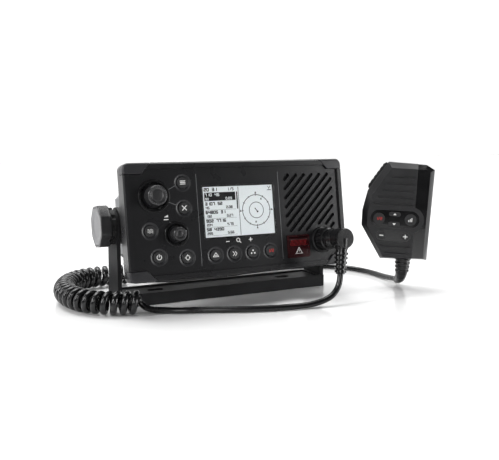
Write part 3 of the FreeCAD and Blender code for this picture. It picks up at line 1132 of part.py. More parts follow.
def make_curls():
    """One unbroken faceted tube along the helix."""
    points, headings, turns = helix_points()
    edges = []
    for number in range(len(points) - 1):
        edges += biarc(points[number], headings[number], points[number + 1], headings[number + 1])
    wire_radius = value("sizes.cord_diameter / 2")
    stub = value("sizes.cord_diameter")
    before = points[0] - headings[0] * stub
    after = points[-1] + headings[-1] * stub
    path = Part.Wire([Part.LineSegment(before, points[0]).toShape()] + edges
                     + [Part.LineSegment(points[-1], after).toShape()])
    shell = Part.BRepOffsetAPI.MakePipeShell(path)
    shell.add(many_sided(before, headings[0], wire_radius, CURL_SIDES))
    shell.build()
    shell.makeSolid()
    curls = shaped("curly_cord", shell.shape())
    keep(curls, "curly_cord")
    line = path.discretize(Number=turns * 24)
    gap = least_gap(line, turns * 24, turns)
    print("curly cord: turns", turns, "wire length", round(path.Length, 1),
          "least gap between turns", round(gap - 2 * wire_radius, 2))
    return before, headings[0], after, headings[-1]


def least_gap(line, count, turns):
    """The smallest distance between points of the wire that are half a turn or more apart."""
    apart = count // turns // 2
    reach = 2 * count // turns
    return min((line[a] - line[b]).Length for a in range(0, len(line), 2)
               for b in range(a + apart, min(a + reach, len(line))))


def lead_path(points):
    """Straight runs joined by arcs as large as the two runs at each corner allow."""
    edges, radii = [], []
    here = points[0]
    for number in range(1, len(points) - 1):
        before, corner, after = points[number - 1], points[number], points[number + 1]
        into, out = (corner - before), (after - corner)
        shorter = min(into.Length, out.Length)
        into.normalize()
        out.normalize()
        turn = into.getAngle(out)
        setback = 0.45 * shorter
        radii.append(setback / math.tan(turn / 2))
        first, second = corner - into * setback, corner + out * setback
        edges.append(Part.LineSegment(here, first).toShape())
        edges.append(arc_from(first, corner, second))
        here = second
    edges.append(Part.LineSegment(here, points[-1]).toShape())
    return Part.Wire(edges), radii


def make_lead(label, points):
    """A tube along a lead's route, with the many sides that stand for the round cord."""
    path, radii = lead_path(points)
    section = many_sided(points[0], (points[1] - points[0]).normalize(),
                         value("sizes.cord_diameter / 2"), LEAD_SIDES)
    shell = Part.BRepOffsetAPI.MakePipeShell(path)
    shell.add(section)
    shell.build()
    shell.makeSolid()
    tube = shell.shape()
    full = Part.Face(section).Area * path.Length
    print(label, "length", round(path.Length, 1), "radii", [round(r, 1) for r in radii],
          "volume ratio", round(tube.Volume / full, 4),
          "lowest", round(tube.optimalBoundingBox(False).ZMin, 3))
    keep(shaped(label, tube), label)


def make_cord():
    front_end, front_heading, rear_end, rear_heading = make_curls()
    relief_foot = chassis.Placement.multVec(plug_foot())
    down = chassis.Placement.Rotation.multVec(plug_down())
    print("relief foot", [round(c, 2) for c in relief_foot], "heading", [round(c, 3) for c in down])
    print("coil ends", [round(c, 2) for c in (*front_end, *rear_end)],
          "headings", [round(c, 3) for c in (*front_heading, *rear_heading)])
    front = [relief_foot, relief_foot + down * 6.2] + [Vector(*p) for p in FRONT_LEAD]
    front += [front_end - front_heading * 12, front_end]
    make_lead("front_lead", front)
    rear = [RELIEF_EXIT, RELIEF_EXIT + RELIEF_HEADING * 9] + [Vector(*p) for p in REAR_LEAD]
    rear += [rear_end + rear_heading * 14, rear_end]
    make_lead("rear_lead", rear)


def plug_down():
    """The way the plug's relief points, in the chassis frame."""
    return Rotation(Y_AXIS, value("sizes.relief_lean")).multVec(-Z_AXIS)


def plug_foot():
    """The end of the plug's relief, in the chassis frame."""
    reach = value("sizes.socket_collar_proud + 0.3 + sizes.nut_length + 0.1 + sizes.neck_length"
                  " + sizes.head_length / 2")
    axis = Vector(value("sizes.socket_x"), value(FACE) - reach, value("sizes.socket_z"))
    return axis + plug_down() * value("sizes.relief_top + sizes.relief_length")


make_bracket()
make_front_housing()
make_front_keys()
make_knobs()
make_display()
make_speaker()
make_alarm_group()
make_socket_and_plug()
make_rear_housing()
make_rear_fittings()
make_clamps()
make_handset()
make_cord()

doc.recompute()
failed = [obj.Name for obj in doc.Objects if {"Invalid", "Error"} & set(obj.State)]
if failed:
    raise RuntimeError("objects that failed: " + ", ".join(failed))
for node in nodes:
    if node.Shape.isNull() or not node.Shape.isValid() or not node.Shape.Solids:
        raise RuntimeError("bad shape: " + node.Label)
os.makedirs("parts", exist_ok=True)
for node in nodes:
    node.Shape.exportStep("parts/%s.step" % node.Label)
print(len(nodes), "nodes written")
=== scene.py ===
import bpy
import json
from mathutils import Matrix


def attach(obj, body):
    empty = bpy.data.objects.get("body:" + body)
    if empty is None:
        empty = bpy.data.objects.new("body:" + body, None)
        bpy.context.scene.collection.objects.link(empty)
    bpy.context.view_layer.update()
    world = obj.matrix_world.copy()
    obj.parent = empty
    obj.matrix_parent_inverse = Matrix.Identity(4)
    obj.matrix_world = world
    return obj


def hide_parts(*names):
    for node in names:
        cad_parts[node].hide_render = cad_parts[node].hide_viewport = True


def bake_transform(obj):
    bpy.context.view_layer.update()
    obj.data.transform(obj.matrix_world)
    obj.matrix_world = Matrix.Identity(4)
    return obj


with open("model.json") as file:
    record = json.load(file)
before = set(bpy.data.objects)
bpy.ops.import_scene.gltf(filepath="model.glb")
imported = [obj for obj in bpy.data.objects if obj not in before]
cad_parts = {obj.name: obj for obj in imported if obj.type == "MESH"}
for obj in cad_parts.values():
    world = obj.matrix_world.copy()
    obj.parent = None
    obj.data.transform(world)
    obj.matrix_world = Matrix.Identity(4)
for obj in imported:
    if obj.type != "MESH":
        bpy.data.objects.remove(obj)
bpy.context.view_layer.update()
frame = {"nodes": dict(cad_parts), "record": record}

import json
import math
import bmesh
import bpy
from mathutils import Matrix, Vector

# Lengths below are millimetres in a frame of their own; the matrices carry them to metres.

MM = Matrix.Scale(0.001, 4)
PIVOT_HEIGHT, LEAN = 60, 9.2
CHASSIS = (MM @ Matrix.Translation((0, 0, PIVOT_HEIGHT))
           @ Matrix.Rotation(math.radians(-LEAN), 4, "X"))
HANDSET_PLACE, HANDSET_TURN, HANDSET_LEAN = (132.6, -56, 64), -38, 2.5
HANDSET = (MM @ Matrix.Translation(HANDSET_PLACE)
           @ Matrix.Rotation(math.radians(HANDSET_TURN), 4, "Z")
           @ Matrix.Rotation(math.radians(HANDSET_LEAN), 4, "Y"))
FORWARD = Matrix.Rotation(math.radians(90), 4, "X")
FACE = -40.5
KEY_TOP = FACE - 0.7
PI = math.pi


# Materials

def new_material(name):
    material = bpy.data.materials.new(name)
    material.use_nodes = True
    tree = material.node_tree
    return material, tree, tree.nodes["Principled BSDF"]


def noise(tree, scale, detail=4.0, rough=0.5):
    """Noise over the object's own coordinates, with scale in features per metre."""
    place = tree.nodes.new("ShaderNodeTexCoord")
    texture = tree.nodes.new("ShaderNodeTexNoise")
    texture.inputs["Scale"].default_value = scale
    texture.inputs["Detail"].default_value = detail
    texture.inputs["Roughness"].default_value = rough
    tree.links.new(place.outputs["Object"], texture.inputs["Vector"])
    return texture


def ranged(tree, source, low, high):
    span = tree.nodes.new("ShaderNodeMapRange")
    span.inputs["From Min"].default_value = 0.3
    span.inputs["From Max"].default_value = 0.7
    span.inputs["To Min"].default_value = low
    span.inputs["To Max"].default_value = high
    tree.links.new(source, span.inputs["Value"])
    return span.outputs["Result"]


def mixed(tree, factor, first, second):
    ramp = tree.nodes.new("ShaderNodeValToRGB")
    ramp.color_ramp.elements[0].position = 0.35
    ramp.color_ramp.elements[0].color = (*first, 1)
    ramp.color_ramp.elements[1].position = 0.65
    ramp.color_ramp.elements[1].color = (*second, 1)
    tree.links.new(factor, ramp.inputs["Fac"])
    return ramp.outputs["Color"]


def moulded(name, colour, rough=0.4, grain=9000, depth=0.05, spread=0.12, coat=0.0, shine=0.35):
    """Moulded or painted surface: fine grain in the relief, slow drift in colour and gloss."""
    material, tree, shader = new_material(name)
    slow = noise(tree, 60, 3)
    fine = noise(tree, grain, 2, 0.6)
    darker = tuple(c * (1 - spread) for c in colour)
    lighter = tuple(min(1, c * (1 + spread)) for c in colour)
    tree.links.new(mixed(tree, slow.outputs["Fac"], darker, lighter), shader.inputs["Base Color"])
    tree.links.new(ranged(tree, slow.outputs["Fac"], rough - 0.3 * spread, rough + 0.4 * spread),
                   shader.inputs["Roughness"])
    bump = tree.nodes.new("ShaderNodeBump")
    bump.inputs["Strength"].default_value = depth
    bump.inputs["Distance"].default_value = 0.0002
    tree.links.new(fine.outputs["Fac"], bump.inputs["Height"])
    tree.links.new(bump.outputs["Normal"], shader.inputs["Normal"])
    shader.inputs["Specular IOR Level"].default_value = shine
    shader.inputs["Coat Weight"].default_value = coat
    return material


def brushed(name, colour, rough, stretch):
    """Metal with fine lines along one axis."""
    material, tree, shader = new_material(name)
    place = tree.nodes.new("ShaderNodeTexCoord")
    mapping = tree.nodes.new("ShaderNodeMapping")
    mapping.inputs["Scale"].default_value = stretch
    texture = tree.nodes.new("ShaderNodeTexNoise")
    texture.inputs["Scale"].default_value = 900
    texture.inputs["Detail"].default_value = 3
    tree.links.new(place.outputs["Object"], mapping.inputs["Vector"])
    tree.links.new(mapping.outputs["Vector"], texture.inputs["Vector"])
    dark = tuple(c * 0.8 for c in colour)
    tree.links.new(mixed(tree, texture.outputs["Fac"], dark, colour), shader.inputs["Base Color"])
    tree.links.new(ranged(tree, texture.outputs["Fac"], rough - 0.06, rough + 0.1),
                   shader.inputs["Roughness"])
    shader.inputs["Metallic"].default_value = 1.0
    return material


def lit(name, colour, strength):
    """A screen surface that gives off its own light, with a faint pixel grid."""
    material, tree, shader = new_material(name)
    place = tree.nodes.new("ShaderNodeTexCoord")
    wave = tree.nodes.new("ShaderNodeTexWave")
    wave.inputs["Scale"].default_value = 700
    wave.bands_direction = "X"
    tree.links.new(place.outputs["Object"], wave.inputs["Vector"])
    shade = tuple(c * 0.94 for c in colour)
    paint = mixed(tree, wave.outputs["Fac"], shade, colour)
    tree.links.new(paint, shader.inputs["Base Color"])
    tree.links.new(paint, shader.inputs["Emission Color"])
    shader.inputs["Emission Strength"].default_value = strength
    shader.inputs["Roughness"].default_value = 0.35
    return material


def glass(name):
    material, tree, shader = new_material(name)
    fine = noise(tree, 300, 2)
    tree.links.new(ranged(tree, fine.outputs["Fac"], 0.02, 0.05), shader.inputs["Roughness"])
    tree.links.new(mixed(tree, fine.outputs["Fac"], (0.97, 0.98, 0.98), (1, 1, 1)),
                   shader.inputs["Base Color"])
    shader.inputs["Transmission Weight"].default_value = 1.0
    shader.inputs["IOR"].default_value = 1.3
    return material


PANEL = moulded("panel_black", (0.011, 0.011, 0.012), 0.28, 14000, 0.08, 0.04)
CAP = moulded("cap_black", (0.018, 0.018, 0.020), 0.36, 9000, 0.12)
BRACKET = moulded("bracket_black", (0.018, 0.018, 0.019), 0.55, 7000, 0.12, shine=0.1)
CASE = moulded("case_grey", (0.16, 0.165, 0.17), 0.42, 6000, 0.16, 0.06)
RUBBER = moulded("washer_rubber", (0.008, 0.008, 0.008), 0.55, 5000, 0.2)
CORD = moulded("cord_rubber", (0.004, 0.004, 0.0045), 0.24, 4000, 0.05, coat=0.2)
KEYCAP = moulded("key_rubber", (0.016, 0.016, 0.017), 0.50, 12000, 0.12)
COLLAR = moulded("collar_black", (0.006, 0.006, 0.0065), 0.26, 9000, 0.04)
KNOB = moulded("knob_black", (0.020, 0.020, 0.021), 0.28, 9000, 0.07, shine=0.5)
PLUG = moulded("plug_black", (0.006, 0.006, 0.0065), 0.26, 5000, 0.05, coat=0.15)
HANDSET_SKIN = moulded("handset_black", (0.010, 0.010, 0.011), 0.32, 12000, 0.12)
HANDSET_GLOSS = moulded("handset_gloss", (0.004, 0.004, 0.0045), 0.12, 2500, 0.01, coat=0.5)
RED = moulded("alarm_red", (0.022, 0.002, 0.003), 0.18, 3000, 0.02, 0.2, coat=0.3)
RED_BRIGHT = moulded("alarm_red_bright", (0.17, 0.008, 0.010), 0.25, 3000, 0.02, 0.15)
INSERT = moulded("insert_grey", (0.17, 0.17, 0.175), 0.40, 6000, 0.05, 0.05)
BOARD = moulded("board_green", (0.01, 0.10, 0.04), 0.5, 3000, 0.1)
SPEAKER = moulded("speaker_grey", (0.012, 0.012, 0.013), 0.7, 4000, 0.3)
STEEL = brushed("screw_steel", (0.62, 0.62, 0.63), 0.32, (1, 1, 14))
ENCODER = brushed("encoder_metal", (0.55, 0.55, 0.56), 0.35, (14, 1, 1))
PLATED = brushed("plated_brass", (0.72, 0.70, 0.64), 0.22, (1, 9, 1))
WINDOW = glass("window_glass")
SCREEN = lit("display_white", (0.60, 0.63, 0.64), 0.55)
SCREEN_INK = moulded("screen_ink", (0.004, 0.004, 0.005), 0.5, 6000, 0.02)
LEGEND = moulded("legend_white", (0.78, 0.78, 0.77), 0.5, 8000, 0.05, 0.04)
LEGEND_GREY = moulded("legend_grey", (0.16, 0.165, 0.17), 0.5, 8000, 0.05, 0.06)
LEGEND_RED = moulded("legend_red", (0.62, 0.035, 0.03), 0.5, 8000, 0.05, 0.06)

BY_SLOT = {
    "bracket_black": BRACKET, "washer_rubber": RUBBER, "cord_rubber": CORD, "panel_black": PANEL,
    "cap_black": CAP, "window_glass": WINDOW, "display_white": SCREEN, "collar_black": COLLAR,
    "encoder_metal": ENCODER, "key_rubber": KEYCAP, "board_green": BOARD, "speaker_grey": SPEAKER,
    "case_grey": CASE, "screw_steel": STEEL, "plated_brass": PLATED, "alarm_red": RED,
    "plug_black": PLUG, "knob_black": KNOB, "handset_black": HANDSET_SKIN,
    "handset_gloss": HANDSET_GLOSS, "insert_grey": INSERT,
}


# Mesh helpers

def add_piece(name, mesh, body, material, smooth=True):
    """A new mesh object in the row frame that rides on a body, or on none yet."""
    for polygon in mesh.polygons:
        polygon.use_smooth = smooth
    mesh.materials.clear()
    mesh.materials.append(material)
    piece = bpy.data.objects.new(name, mesh)
    bpy.context.scene.collection.objects.link(piece)
    if body:
        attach(piece, body)
    return piece


def baked(name, bm, matrix):
    """A mesh from a bmesh, carried to the row frame."""
    bm.transform(matrix)
    bmesh.ops.recalc_face_normals(bm, faces=bm.faces)
    mesh = bpy.data.meshes.new(name)
    bm.to_mesh(mesh)
    bm.free()
    return mesh


def soften(piece, width, angle=35, segments=2):
    """Joins split corners, rounds the sharp edges a little and keeps flat sides flat."""
    weld = piece.modifiers.new("weld", "WELD")
    weld.merge_threshold = 1e-6
    plain = piece.modifiers.new("plain", "DECIMATE")
    plain.decimate_type = "DISSOLVE"
    plain.angle_limit = math.radians(0.5)
    bevel = piece.modifiers.new("bevel", "BEVEL")
    bevel.width = width * 0.001
    bevel.segments = segments
    bevel.limit_method = "ANGLE"
    bevel.angle_limit = math.radians(angle)
    bevel.use_clamp_overlap = True
    even = piece.modifiers.new("even", "WEIGHTED_NORMAL")
    even.mode = "FACE_AREA"
    even.weight = 100


def lathe(name, profile, matrix, body, material, segments=96, ripple=None):
    """A turned piece from (radius, height) corners; ripple changes the radius round the axis."""
    bm = bmesh.new()
    rings = []
    for radius, height in profile:
        if radius < 1e-6:
            rings.append([bm.verts.new((0, 0, height))])
            continue
        ring = []
        for number in range(segments):
            angle = 2 * PI * number / segments
            r = radius + (ripple(angle, radius, height) if ripple else 0)
            ring.append(bm.verts.new((r * math.cos(angle), r * math.sin(angle), height)))
        rings.append(ring)
    for low, high in zip(rings, rings[1:]):
        for number in range(segments):
            after = (number + 1) % segments
            corners = [low[number % len(low)], low[after % len(low)],
                       high[after % len(high)], high[number % len(high)]]
            unique = list(dict.fromkeys(corners))
            if len(unique) > 2:
                bm.faces.new(unique)
    return add_piece(name, baked(name, bm, matrix), body, material)


def route(name, points):
    """Points on the smooth line that a row of control points gives, in the row frame."""
    curve = bpy.data.curves.new(name, "CURVE")
    curve.dimensions = "3D"
    spline = curve.splines.new("NURBS")
    spline.points.add(len(points) - 1)
    for knot, point in zip(spline.points, points):
        knot.co = (*(c * 0.001 for c in point), 1)
    spline.order_u = 3
    spline.use_endpoint_u = True
    spline.resolution_u = 24
    line = bpy.data.objects.new(name, curve)
    bpy.context.scene.collection.objects.link(line)
    bpy.context.view_layer.update()
    mesh = bpy.data.meshes.new_from_object(line)
    places = [vertex.co.copy() for vertex in mesh.vertices]
    bpy.data.meshes.remove(mesh)
    bpy.data.objects.remove(line)
    bpy.data.curves.remove(curve)
    return places


def tube(name, path, radius, body, sides=20):
    """A round tube along a line of points; radius gives metres for a share of the way."""
    bm = bmesh.new()
    heading = (path[1] - path[0]).normalized()
    across = heading.orthogonal().normalized()
    rings = []
    for number, place in enumerate(path):
        before, after = path[max(number - 1, 0)], path[min(number + 1, len(path) - 1)]
        ahead = (after - before).normalized()
        across = (across - ahead * across.dot(ahead)).normalized()
        rise = ahead.cross(across)
        size = radius(number / (len(path) - 1))
        rings.append([bm.verts.new(place + size * (across * math.cos(2 * PI * n / sides)
                                                   + rise * math.sin(2 * PI * n / sides)))
                      for n in range(sides)])
    for low, high in zip(rings, rings[1:]):
        for n in range(sides):
            bm.faces.new((low[n], low[(n + 1) % sides], high[(n + 1) % sides], high[n]))
    for ring in (rings[0], rings[-1]):
        for edge in bm.faces.new(ring).edges:
            edge.smooth = False
    return add_piece(name, baked(name, bm, Matrix.Identity(4)), body, CORD)


class Drawing:
    """Flat marks in a plane of a carrier, at one depth, collected into one thin mesh."""

    def __init__(self, depth, thickness=0.04):
        self.bm = bmesh.new()
        self.depth, self.thickness = depth, thickness

    def shape(self, points):
        """A filled outline of (across, up) points."""
        front = [self.bm.verts.new((x, self.depth - self.thickness, z)) for x, z in points]
        back = [self.bm.verts.new((x, self.depth, z)) for x, z in points]
        self.bm.faces.new(front)
        for n in range(len(points)):
            m = (n + 1) % len(points)
            self.bm.faces.new((front[n], front[m], back[m], back[n]))

    def line(self, start, end, width):
        a, b = Vector(start), Vector(end)
        along = (b - a).normalized() * (width / 2)
        side = Vector((-along.y, along.x))
        self.shape([a - along * 0.6 + side, b + along * 0.6 + side,
                    b + along * 0.6 - side, a - along * 0.6 - side])

    def path(self, points, width):
        for a, b in zip(points, points[1:]):
            self.line(a, b, width)

    def arc(self, centre, radius, width, start=0, end=360, steps=48):
        """A ring, or a part of one, of even width."""
        angles = [math.radians(start + (end - start) * n / steps) for n in range(steps + 1)]
        for a, b in zip(angles, angles[1:]):
            self.shape([(centre[0] + r * math.cos(t), centre[1] + r * math.sin(t))
                        for r, t in ((radius - width / 2, a), (radius + width / 2, a),
                                     (radius + width / 2, b), (radius - width / 2, b))])

    def disc(self, centre, radius, steps=32):
        self.shape([(centre[0] + radius * math.cos(2 * PI * n / steps),
                     centre[1] + radius * math.sin(2 * PI * n / steps)) for n in range(steps)])

    def digits(self, text, x, z, height, width=None, weight=None):
        """Plain numerals of straight strokes, from a left lower corner."""
        width = width or height * 0.55
        weight = weight or height * 0.16
        corners = {"a": ((0, 1), (1, 1)), "b": ((1, 1), (1, .5)), "c": ((1, .5), (1, 0)),
                   "d": ((0, 0), (1, 0)), "e": ((0, .5), (0, 0)), "f": ((0, 1), (0, .5)),
                   "g": ((0, .5), (1, .5))}
        strokes = {"0": "abcdef", "1": "bc", "2": "abged", "3": "abgcd", "4": "fgbc", "5": "afgcd",
                   "6": "afgedc", "7": "abc", "8": "abcdefg", "9": "abcdfg"}
        for mark in text:
            if mark == ".":
                self.disc((x, z + weight * 0.3), weight * 0.7, 8)
                x += width * 0.6
                continue
            for stroke in strokes.get(mark, ""):
                (x0, z0), (x1, z1) = corners[stroke]
                self.line((x + x0 * width, z + z0 * height), (x + x1 * width, z + z1 * height),
                          weight)
            x += width * 1.6

    def finish(self, name, matrix, body, material):
        return add_piece(name, baked(name, self.bm, matrix), body, material, smooth=False)


# Carried-over CAD nodes

slots = {part["node"]: part["material_slot"] for part in frame["record"]["subparts"]}
for node, item in frame["nodes"].items():
    item.data.materials.clear()
    item.data.materials.append(BY_SLOT[slots[node]])

EDGE_WIDTHS = {
    "front_housing": 0.35, "corner_caps": 0.5, "bracket": 0.9, "rear_housing": 1.2,
    "clamp_knob_left": 0.6, "clamp_knob_right": 0.6, "alarm_frame": 0.25, "alarm_cover": 0.3,
    "handset_front": 0.5, "handset_back": 0.8, "handset_band": 0.6, "talk_bar": 0.5,
    "lobed_washers": 0.5,
}
for node, width in EDGE_WIDTHS.items():
    soften(frame["nodes"][node], width)


# Cord: two plain leads and the curls between them, all on one line

WIRE = 2.3
COIL_LINE = ((-68, -38.5), (-92, -34.5), (-112, -20), (-121, 2), (-121, 26), (-113, 49),
             (-97, 64), (-76, 68), (-44, 65))
FRONT_LEAD = ((60.2, -76.6, 10.4), (53.6, -76.8, 5.6), (38.6, -75.8, 2.3), (20.0, -73.0, 2.3),
              (0.0, -68.5, 2.3), (-20.0, -61.0, 2.3), (-40.0, -52.0, 2.3))
REAR_LEAD = ((151.4, -14.0, 2.3), (152.2, 2.0, 2.3), (149.5, 20.0, 2.3), (142.0, 36.5, 2.3),
             (129.0, 49.0, 2.3), (111.0, 57.0, 2.3), (88.0, 60.0, 2.3), (60.0, 58.0, 2.3),
             (30.0, 54.0, 2.3), (4.0, 52.0, 2.3), (-18.0, 54.0, 2.3))
COIL_RADIUS, COIL_PITCH, DRAWN, DRAWN_TURNS = 6.4, 6.55, 11.0, 0.4
CURL_DRAW_IN, CURL_SWELL, STEPS_PER_TURN = 0.2, 0.2, 44
PLUG_RUN, RELIEF_RUN, FRONT_RUN_IN, REAR_RUN_IN = 6.2, 9, 12, 14
PLUG_FOOT, PLUG_DOWN = Vector((65.04, -74.95, 23.17)), Vector((-0.139, -0.158, -0.978))
RELIEF_EXIT = Vector((149.0, -36.0, 4.2))
RELIEF_HEADING = Vector((0.1, 1.0, -0.1)).normalized()


def curled_wire():
    """The wire's line through the curls, with its first and last part drawn out."""
    axis = route("coil_line", [(x, y, COIL_RADIUS + WIRE) for x, y in COIL_LINE])
    marks = [0.0]
    for a, b in zip(axis, axis[1:]):
        marks.append(marks[-1] + (b - a).length * 1000)
    length = marks[-1]
    turns = round((length - 2 * DRAWN) / COIL_PITCH)
    pitch = (length - 2 * DRAWN) / turns

    def eased_end(turn):
        return DRAWN * (1 - (1 - min(max(turn, -1) / DRAWN_TURNS, 1)) ** 3)

    def on_axis(along):
        inside = min(max(along, 0), length)
        low = 0
        while low < len(marks) - 2 and marks[low + 1] < inside:
            low += 1
        share = (inside - marks[low]) / (marks[low + 1] - marks[low])
        near, far = max(low - 1, 0), min(low + 2, len(axis) - 1)
        here = (axis[low + 1] - axis[low]).normalized()
        early = (axis[low] - axis[near]).normalized() if near < low else here
        late = (axis[far] - axis[low + 1]).normalized() if far > low + 1 else here
        ahead = ((early + here) * (1 - share) + (here + late) * share).normalized()
        return axis[low].lerp(axis[low + 1], share) * 1000 + ahead * (along - inside), ahead

    places = []
    steps = STEPS_PER_TURN * turns
    for number in range(steps + 1):
        turn = turns * number / steps
        centre, ahead = on_axis(pitch * turn + eased_end(turn) + DRAWN - eased_end(turns - turn))
        side = ahead.cross(Vector((0, 0, 1)))
        angle = 2 * PI * turn - PI / 2
        radius = COIL_RADIUS - CURL_DRAW_IN * min(1, turn, turns - turn)
        places.append(centre + side * (radius * math.cos(angle))
                      + Vector((0, 0, radius * math.sin(angle))))
    first, last = places[1] - places[0], places[-1] - places[-2]
    first.z = last.z = 0
    first.normalize()
    last.normalize()
    places = [places[0] - first * 2 * WIRE] + places + [places[-1] + last * 2 * WIRE]
    return [place * 0.001 for place in places], first, last


curl_path, first_heading, last_heading = curled_wire()
front_end, rear_end = curl_path[0] * 1000, curl_path[-1] * 1000
front_path = route("front_line", [PLUG_FOOT, PLUG_FOOT + PLUG_DOWN * PLUG_RUN, *FRONT_LEAD,
                                  front_end - first_heading * FRONT_RUN_IN, front_end])
rear_path = route("rear_line", [RELIEF_EXIT, RELIEF_EXIT + RELIEF_HEADING * RELIEF_RUN,
                                *REAR_LEAD, rear_end + last_heading * REAR_RUN_IN, rear_end])


def curl_radius(share):
    """The wire is a little thicker in the curls than in the plain leads."""
    return 0.001 * (WIRE + CURL_SWELL * min(1, 25 * share, 25 * (1 - share)))


def lead_radius(share):
    return 0.001 * WIRE


curls = tube("curled_cord", curl_path, curl_radius, "stand", 16)
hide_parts("curly_cord")
front = tube("front_cord", front_path, lead_radius, None)
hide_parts("front_lead")
rear = tube("rear_cord", rear_path, lead_radius, None)
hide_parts("rear_lead")
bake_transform(front)
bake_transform(rear)


# Painted shade behind the grille (a dark sheet), the red cover's hatch and sign

def rectangle(low_x, high_x, low_z, high_z):
    return [(low_x, low_z), (high_x, low_z), (high_x, high_z), (low_x, high_z)]


GRILLE_SHADE_BACK, COVER_FRONT = FACE + 2.68, FACE - 0.9
# A dark sheet behind the grille slots: painted shade that keeps the view through the slots dark.
grille_shade = Drawing(GRILLE_SHADE_BACK, 0.06)
grille_shade.shape(rectangle(35.6, 82.6, -15.0, 32.6))
grille_shade.finish("grille_shade_sheet", CHASSIS, "chassis", SPEAKER)
hatch = Drawing(COVER_FRONT, 0.05)
for number in range(12):
    hatch.line((38.9 + 1.2 * number, -24.0), (40.1 + 1.2 * number, -20.2), 0.55)
hatch.line((38.8, -24.6), (53.8, -24.6), 0.35)
hatch.finish("cover_hatch", CHASSIS, "cover", RED_BRIGHT)
caution = Drawing(COVER_FRONT, 0.06)
caution.path([(43.6, -31.0), (46.3, -26.3), (49.0, -31.0), (43.0, -31.0)], 0.5)
caution.line((46.3, -28.2), (46.3, -29.4), 0.45)
caution.finish("cover_mark", CHASSIS, "cover", LEGEND)


# Knobs and their collars

def on_face(place):
    """Carries a turned piece to an (across, up) place on the face, its height to the front."""
    return CHASSIS @ Matrix.Translation((place[0], FACE, place[1])) @ FORWARD


def turned_knob(label, place, radius, proud, teeth):
    """A knob with fine grip ribs, a rounded rim and a dished front with a raised disc."""
    def ribs(angle, r, height):
        return -0.10 * (0.5 + 0.5 * math.cos(angle * teeth)) if 2.2 < height < proud - 1.3 else 0

    knob = lathe(label + "_knob_turned", (
        (2.36, 1.3), (radius - 0.05, 1.3), (radius, 1.5), (radius - 0.03, 2.1),
        (radius - 0.06, 2.3), (radius - 0.25, proud - 1.5), (radius - 0.3, proud - 1.2),
        (radius - 0.36, proud - 0.9), (radius - 0.55, proud - 0.45), (radius - 0.85, proud - 0.12),
        (radius - 1.15, proud), (radius - 1.9, proud), (radius - 2.1, proud - 0.06),
        (radius - 2.85, proud - 0.75), (radius - 3.0, proud - 0.9), (radius - 3.3, proud - 0.95),
        (radius - 3.5, proud - 0.8), (radius - 3.8, proud - 0.72), (0, proud - 0.7)),
        on_face(place), label + "_cap", KNOB, 144, ribs)
    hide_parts(label + "_knob")


def collar_ring(label, place, outer, inner):
    """The stepped rim that slopes in to the foot of a knob."""
    lathe(label + "_collar_ring", (
        (outer - 0.1, 0.02), (outer, 0.1), (outer, 0.6), (outer - 0.15, 0.9), (outer - 0.5, 1.02),
        (outer - 1.3, 1.02), (outer - 1.6, 0.9), (inner + 0.5, -0.5), (inner, -0.75)),
        on_face(place), "chassis", COLLAR, 128)


def around(centre, radius, angle):
    """The point at an angle, in radians, on a circle."""
    return centre[0] + radius * math.cos(angle), centre[1] + radius * math.sin(angle)


CHANNEL, VOLUME = (-68.0, 18.2), (-53.0, -9.6)
CHANNEL_PROUD, VOLUME_PROUD = 9.4, 8.4
turned_knob("channel", CHANNEL, 7.5, CHANNEL_PROUD, 48)
turned_knob("volume", VOLUME, 5.3, VOLUME_PROUD, 36)
collar_ring("channel", CHANNEL, 11.85, 8.4)
collar_ring("volume", VOLUME, 9.25, 6.2)

TICKS = 24
ticks = Drawing(FACE - CHANNEL_PROUD, 0.03)
for number in range(TICKS):
    angle = 2 * PI * number / TICKS
    ticks.line(around(CHANNEL, 5.7, angle), around(CHANNEL, 6.25, angle), 0.22)
ticks.finish("channel_ticks", CHASSIS, "channel_cap", LEGEND_GREY)


# Front panel marks

panel = Drawing(FACE)
for x in (-35.2, 32.3):
    panel.line((x, -34), (x, 33), 0.3)
panel.line((-56.8, 22.6), (-52.2, 24.8), 0.32)
panel.line((-57.4, 13.6), (-51.8, 11.2), 0.32)
panel.line((-57.6, -0.6), (-56.0, -2.6), 0.32)
panel.finish("panel_lines", CHASSIS, "chassis", LEGEND_GREY)

marks = Drawing(FACE)
marks.line((-14.6, -17.6), (-12.2, -17.6), 0.55)
marks.line((4.2, -17.2), (6.8, -17.2), 0.6)
marks.line((5.5, -18.5), (5.5, -15.9), 0.6)
marks.arc((-4.8, -17.0), 1.3, 0.5)
marks.line((-3.9, -17.9), (-2.7, -19.1), 0.6)
marks.shape([(-61.9, 2.9), (-58.5, 2.9), (-58.5, 4.6)])
marks.line((-61.9, 1.2), (-58.5, 1.2), 0.55)
marks.finish("panel_marks", CHASSIS, "chassis", LEGEND)


# Front keys: the sign on each, drawn round its middle, and the ring round its well

def three_bars(d, x, z):
    for step in (-1.1, 0, 1.1):
        d.line((x - 1.9, z + step), (x + 1.9, z + step), 0.5)


def crossed(d, x, z):
    d.line((x - 1.6, z - 1.6), (x + 1.6, z + 1.6), 0.6)
    d.line((x - 1.6, z + 1.6), (x + 1.6, z - 1.6), 0.6)


def waves(d, x, z):
    for step in (-1.0, 0.0, 1.0):
        d.path([(x - 2 + n * 0.25, z + step + 0.35 * math.sin(n * 0.75)) for n in range(17)], 0.36)


def power_sign(d, x, z):
    d.arc((x, z), 1.7, 0.5, 125, 415)
    d.line((x, z + 0.2), (x, z + 2.1), 0.5)


def target(d, x, z):
    d.arc((x, z), 1.5, 0.4)
    for dx, dz in ((1, 0), (-1, 0), (0, 1), (0, -1)):
        d.line((x + dx, z + dz), (x + 2.2 * dx, z + 2.2 * dz), 0.4)


def peak(d, x, z):
    d.path([(x - 2.2, z - 1.1), (x, z + 1.8), (x + 2.2, z - 1.1), (x - 2.2, z - 1.1)], 0.45)
    d.line((x - 0.9, z - 0.2), (x + 0.9, z - 0.2), 0.4)


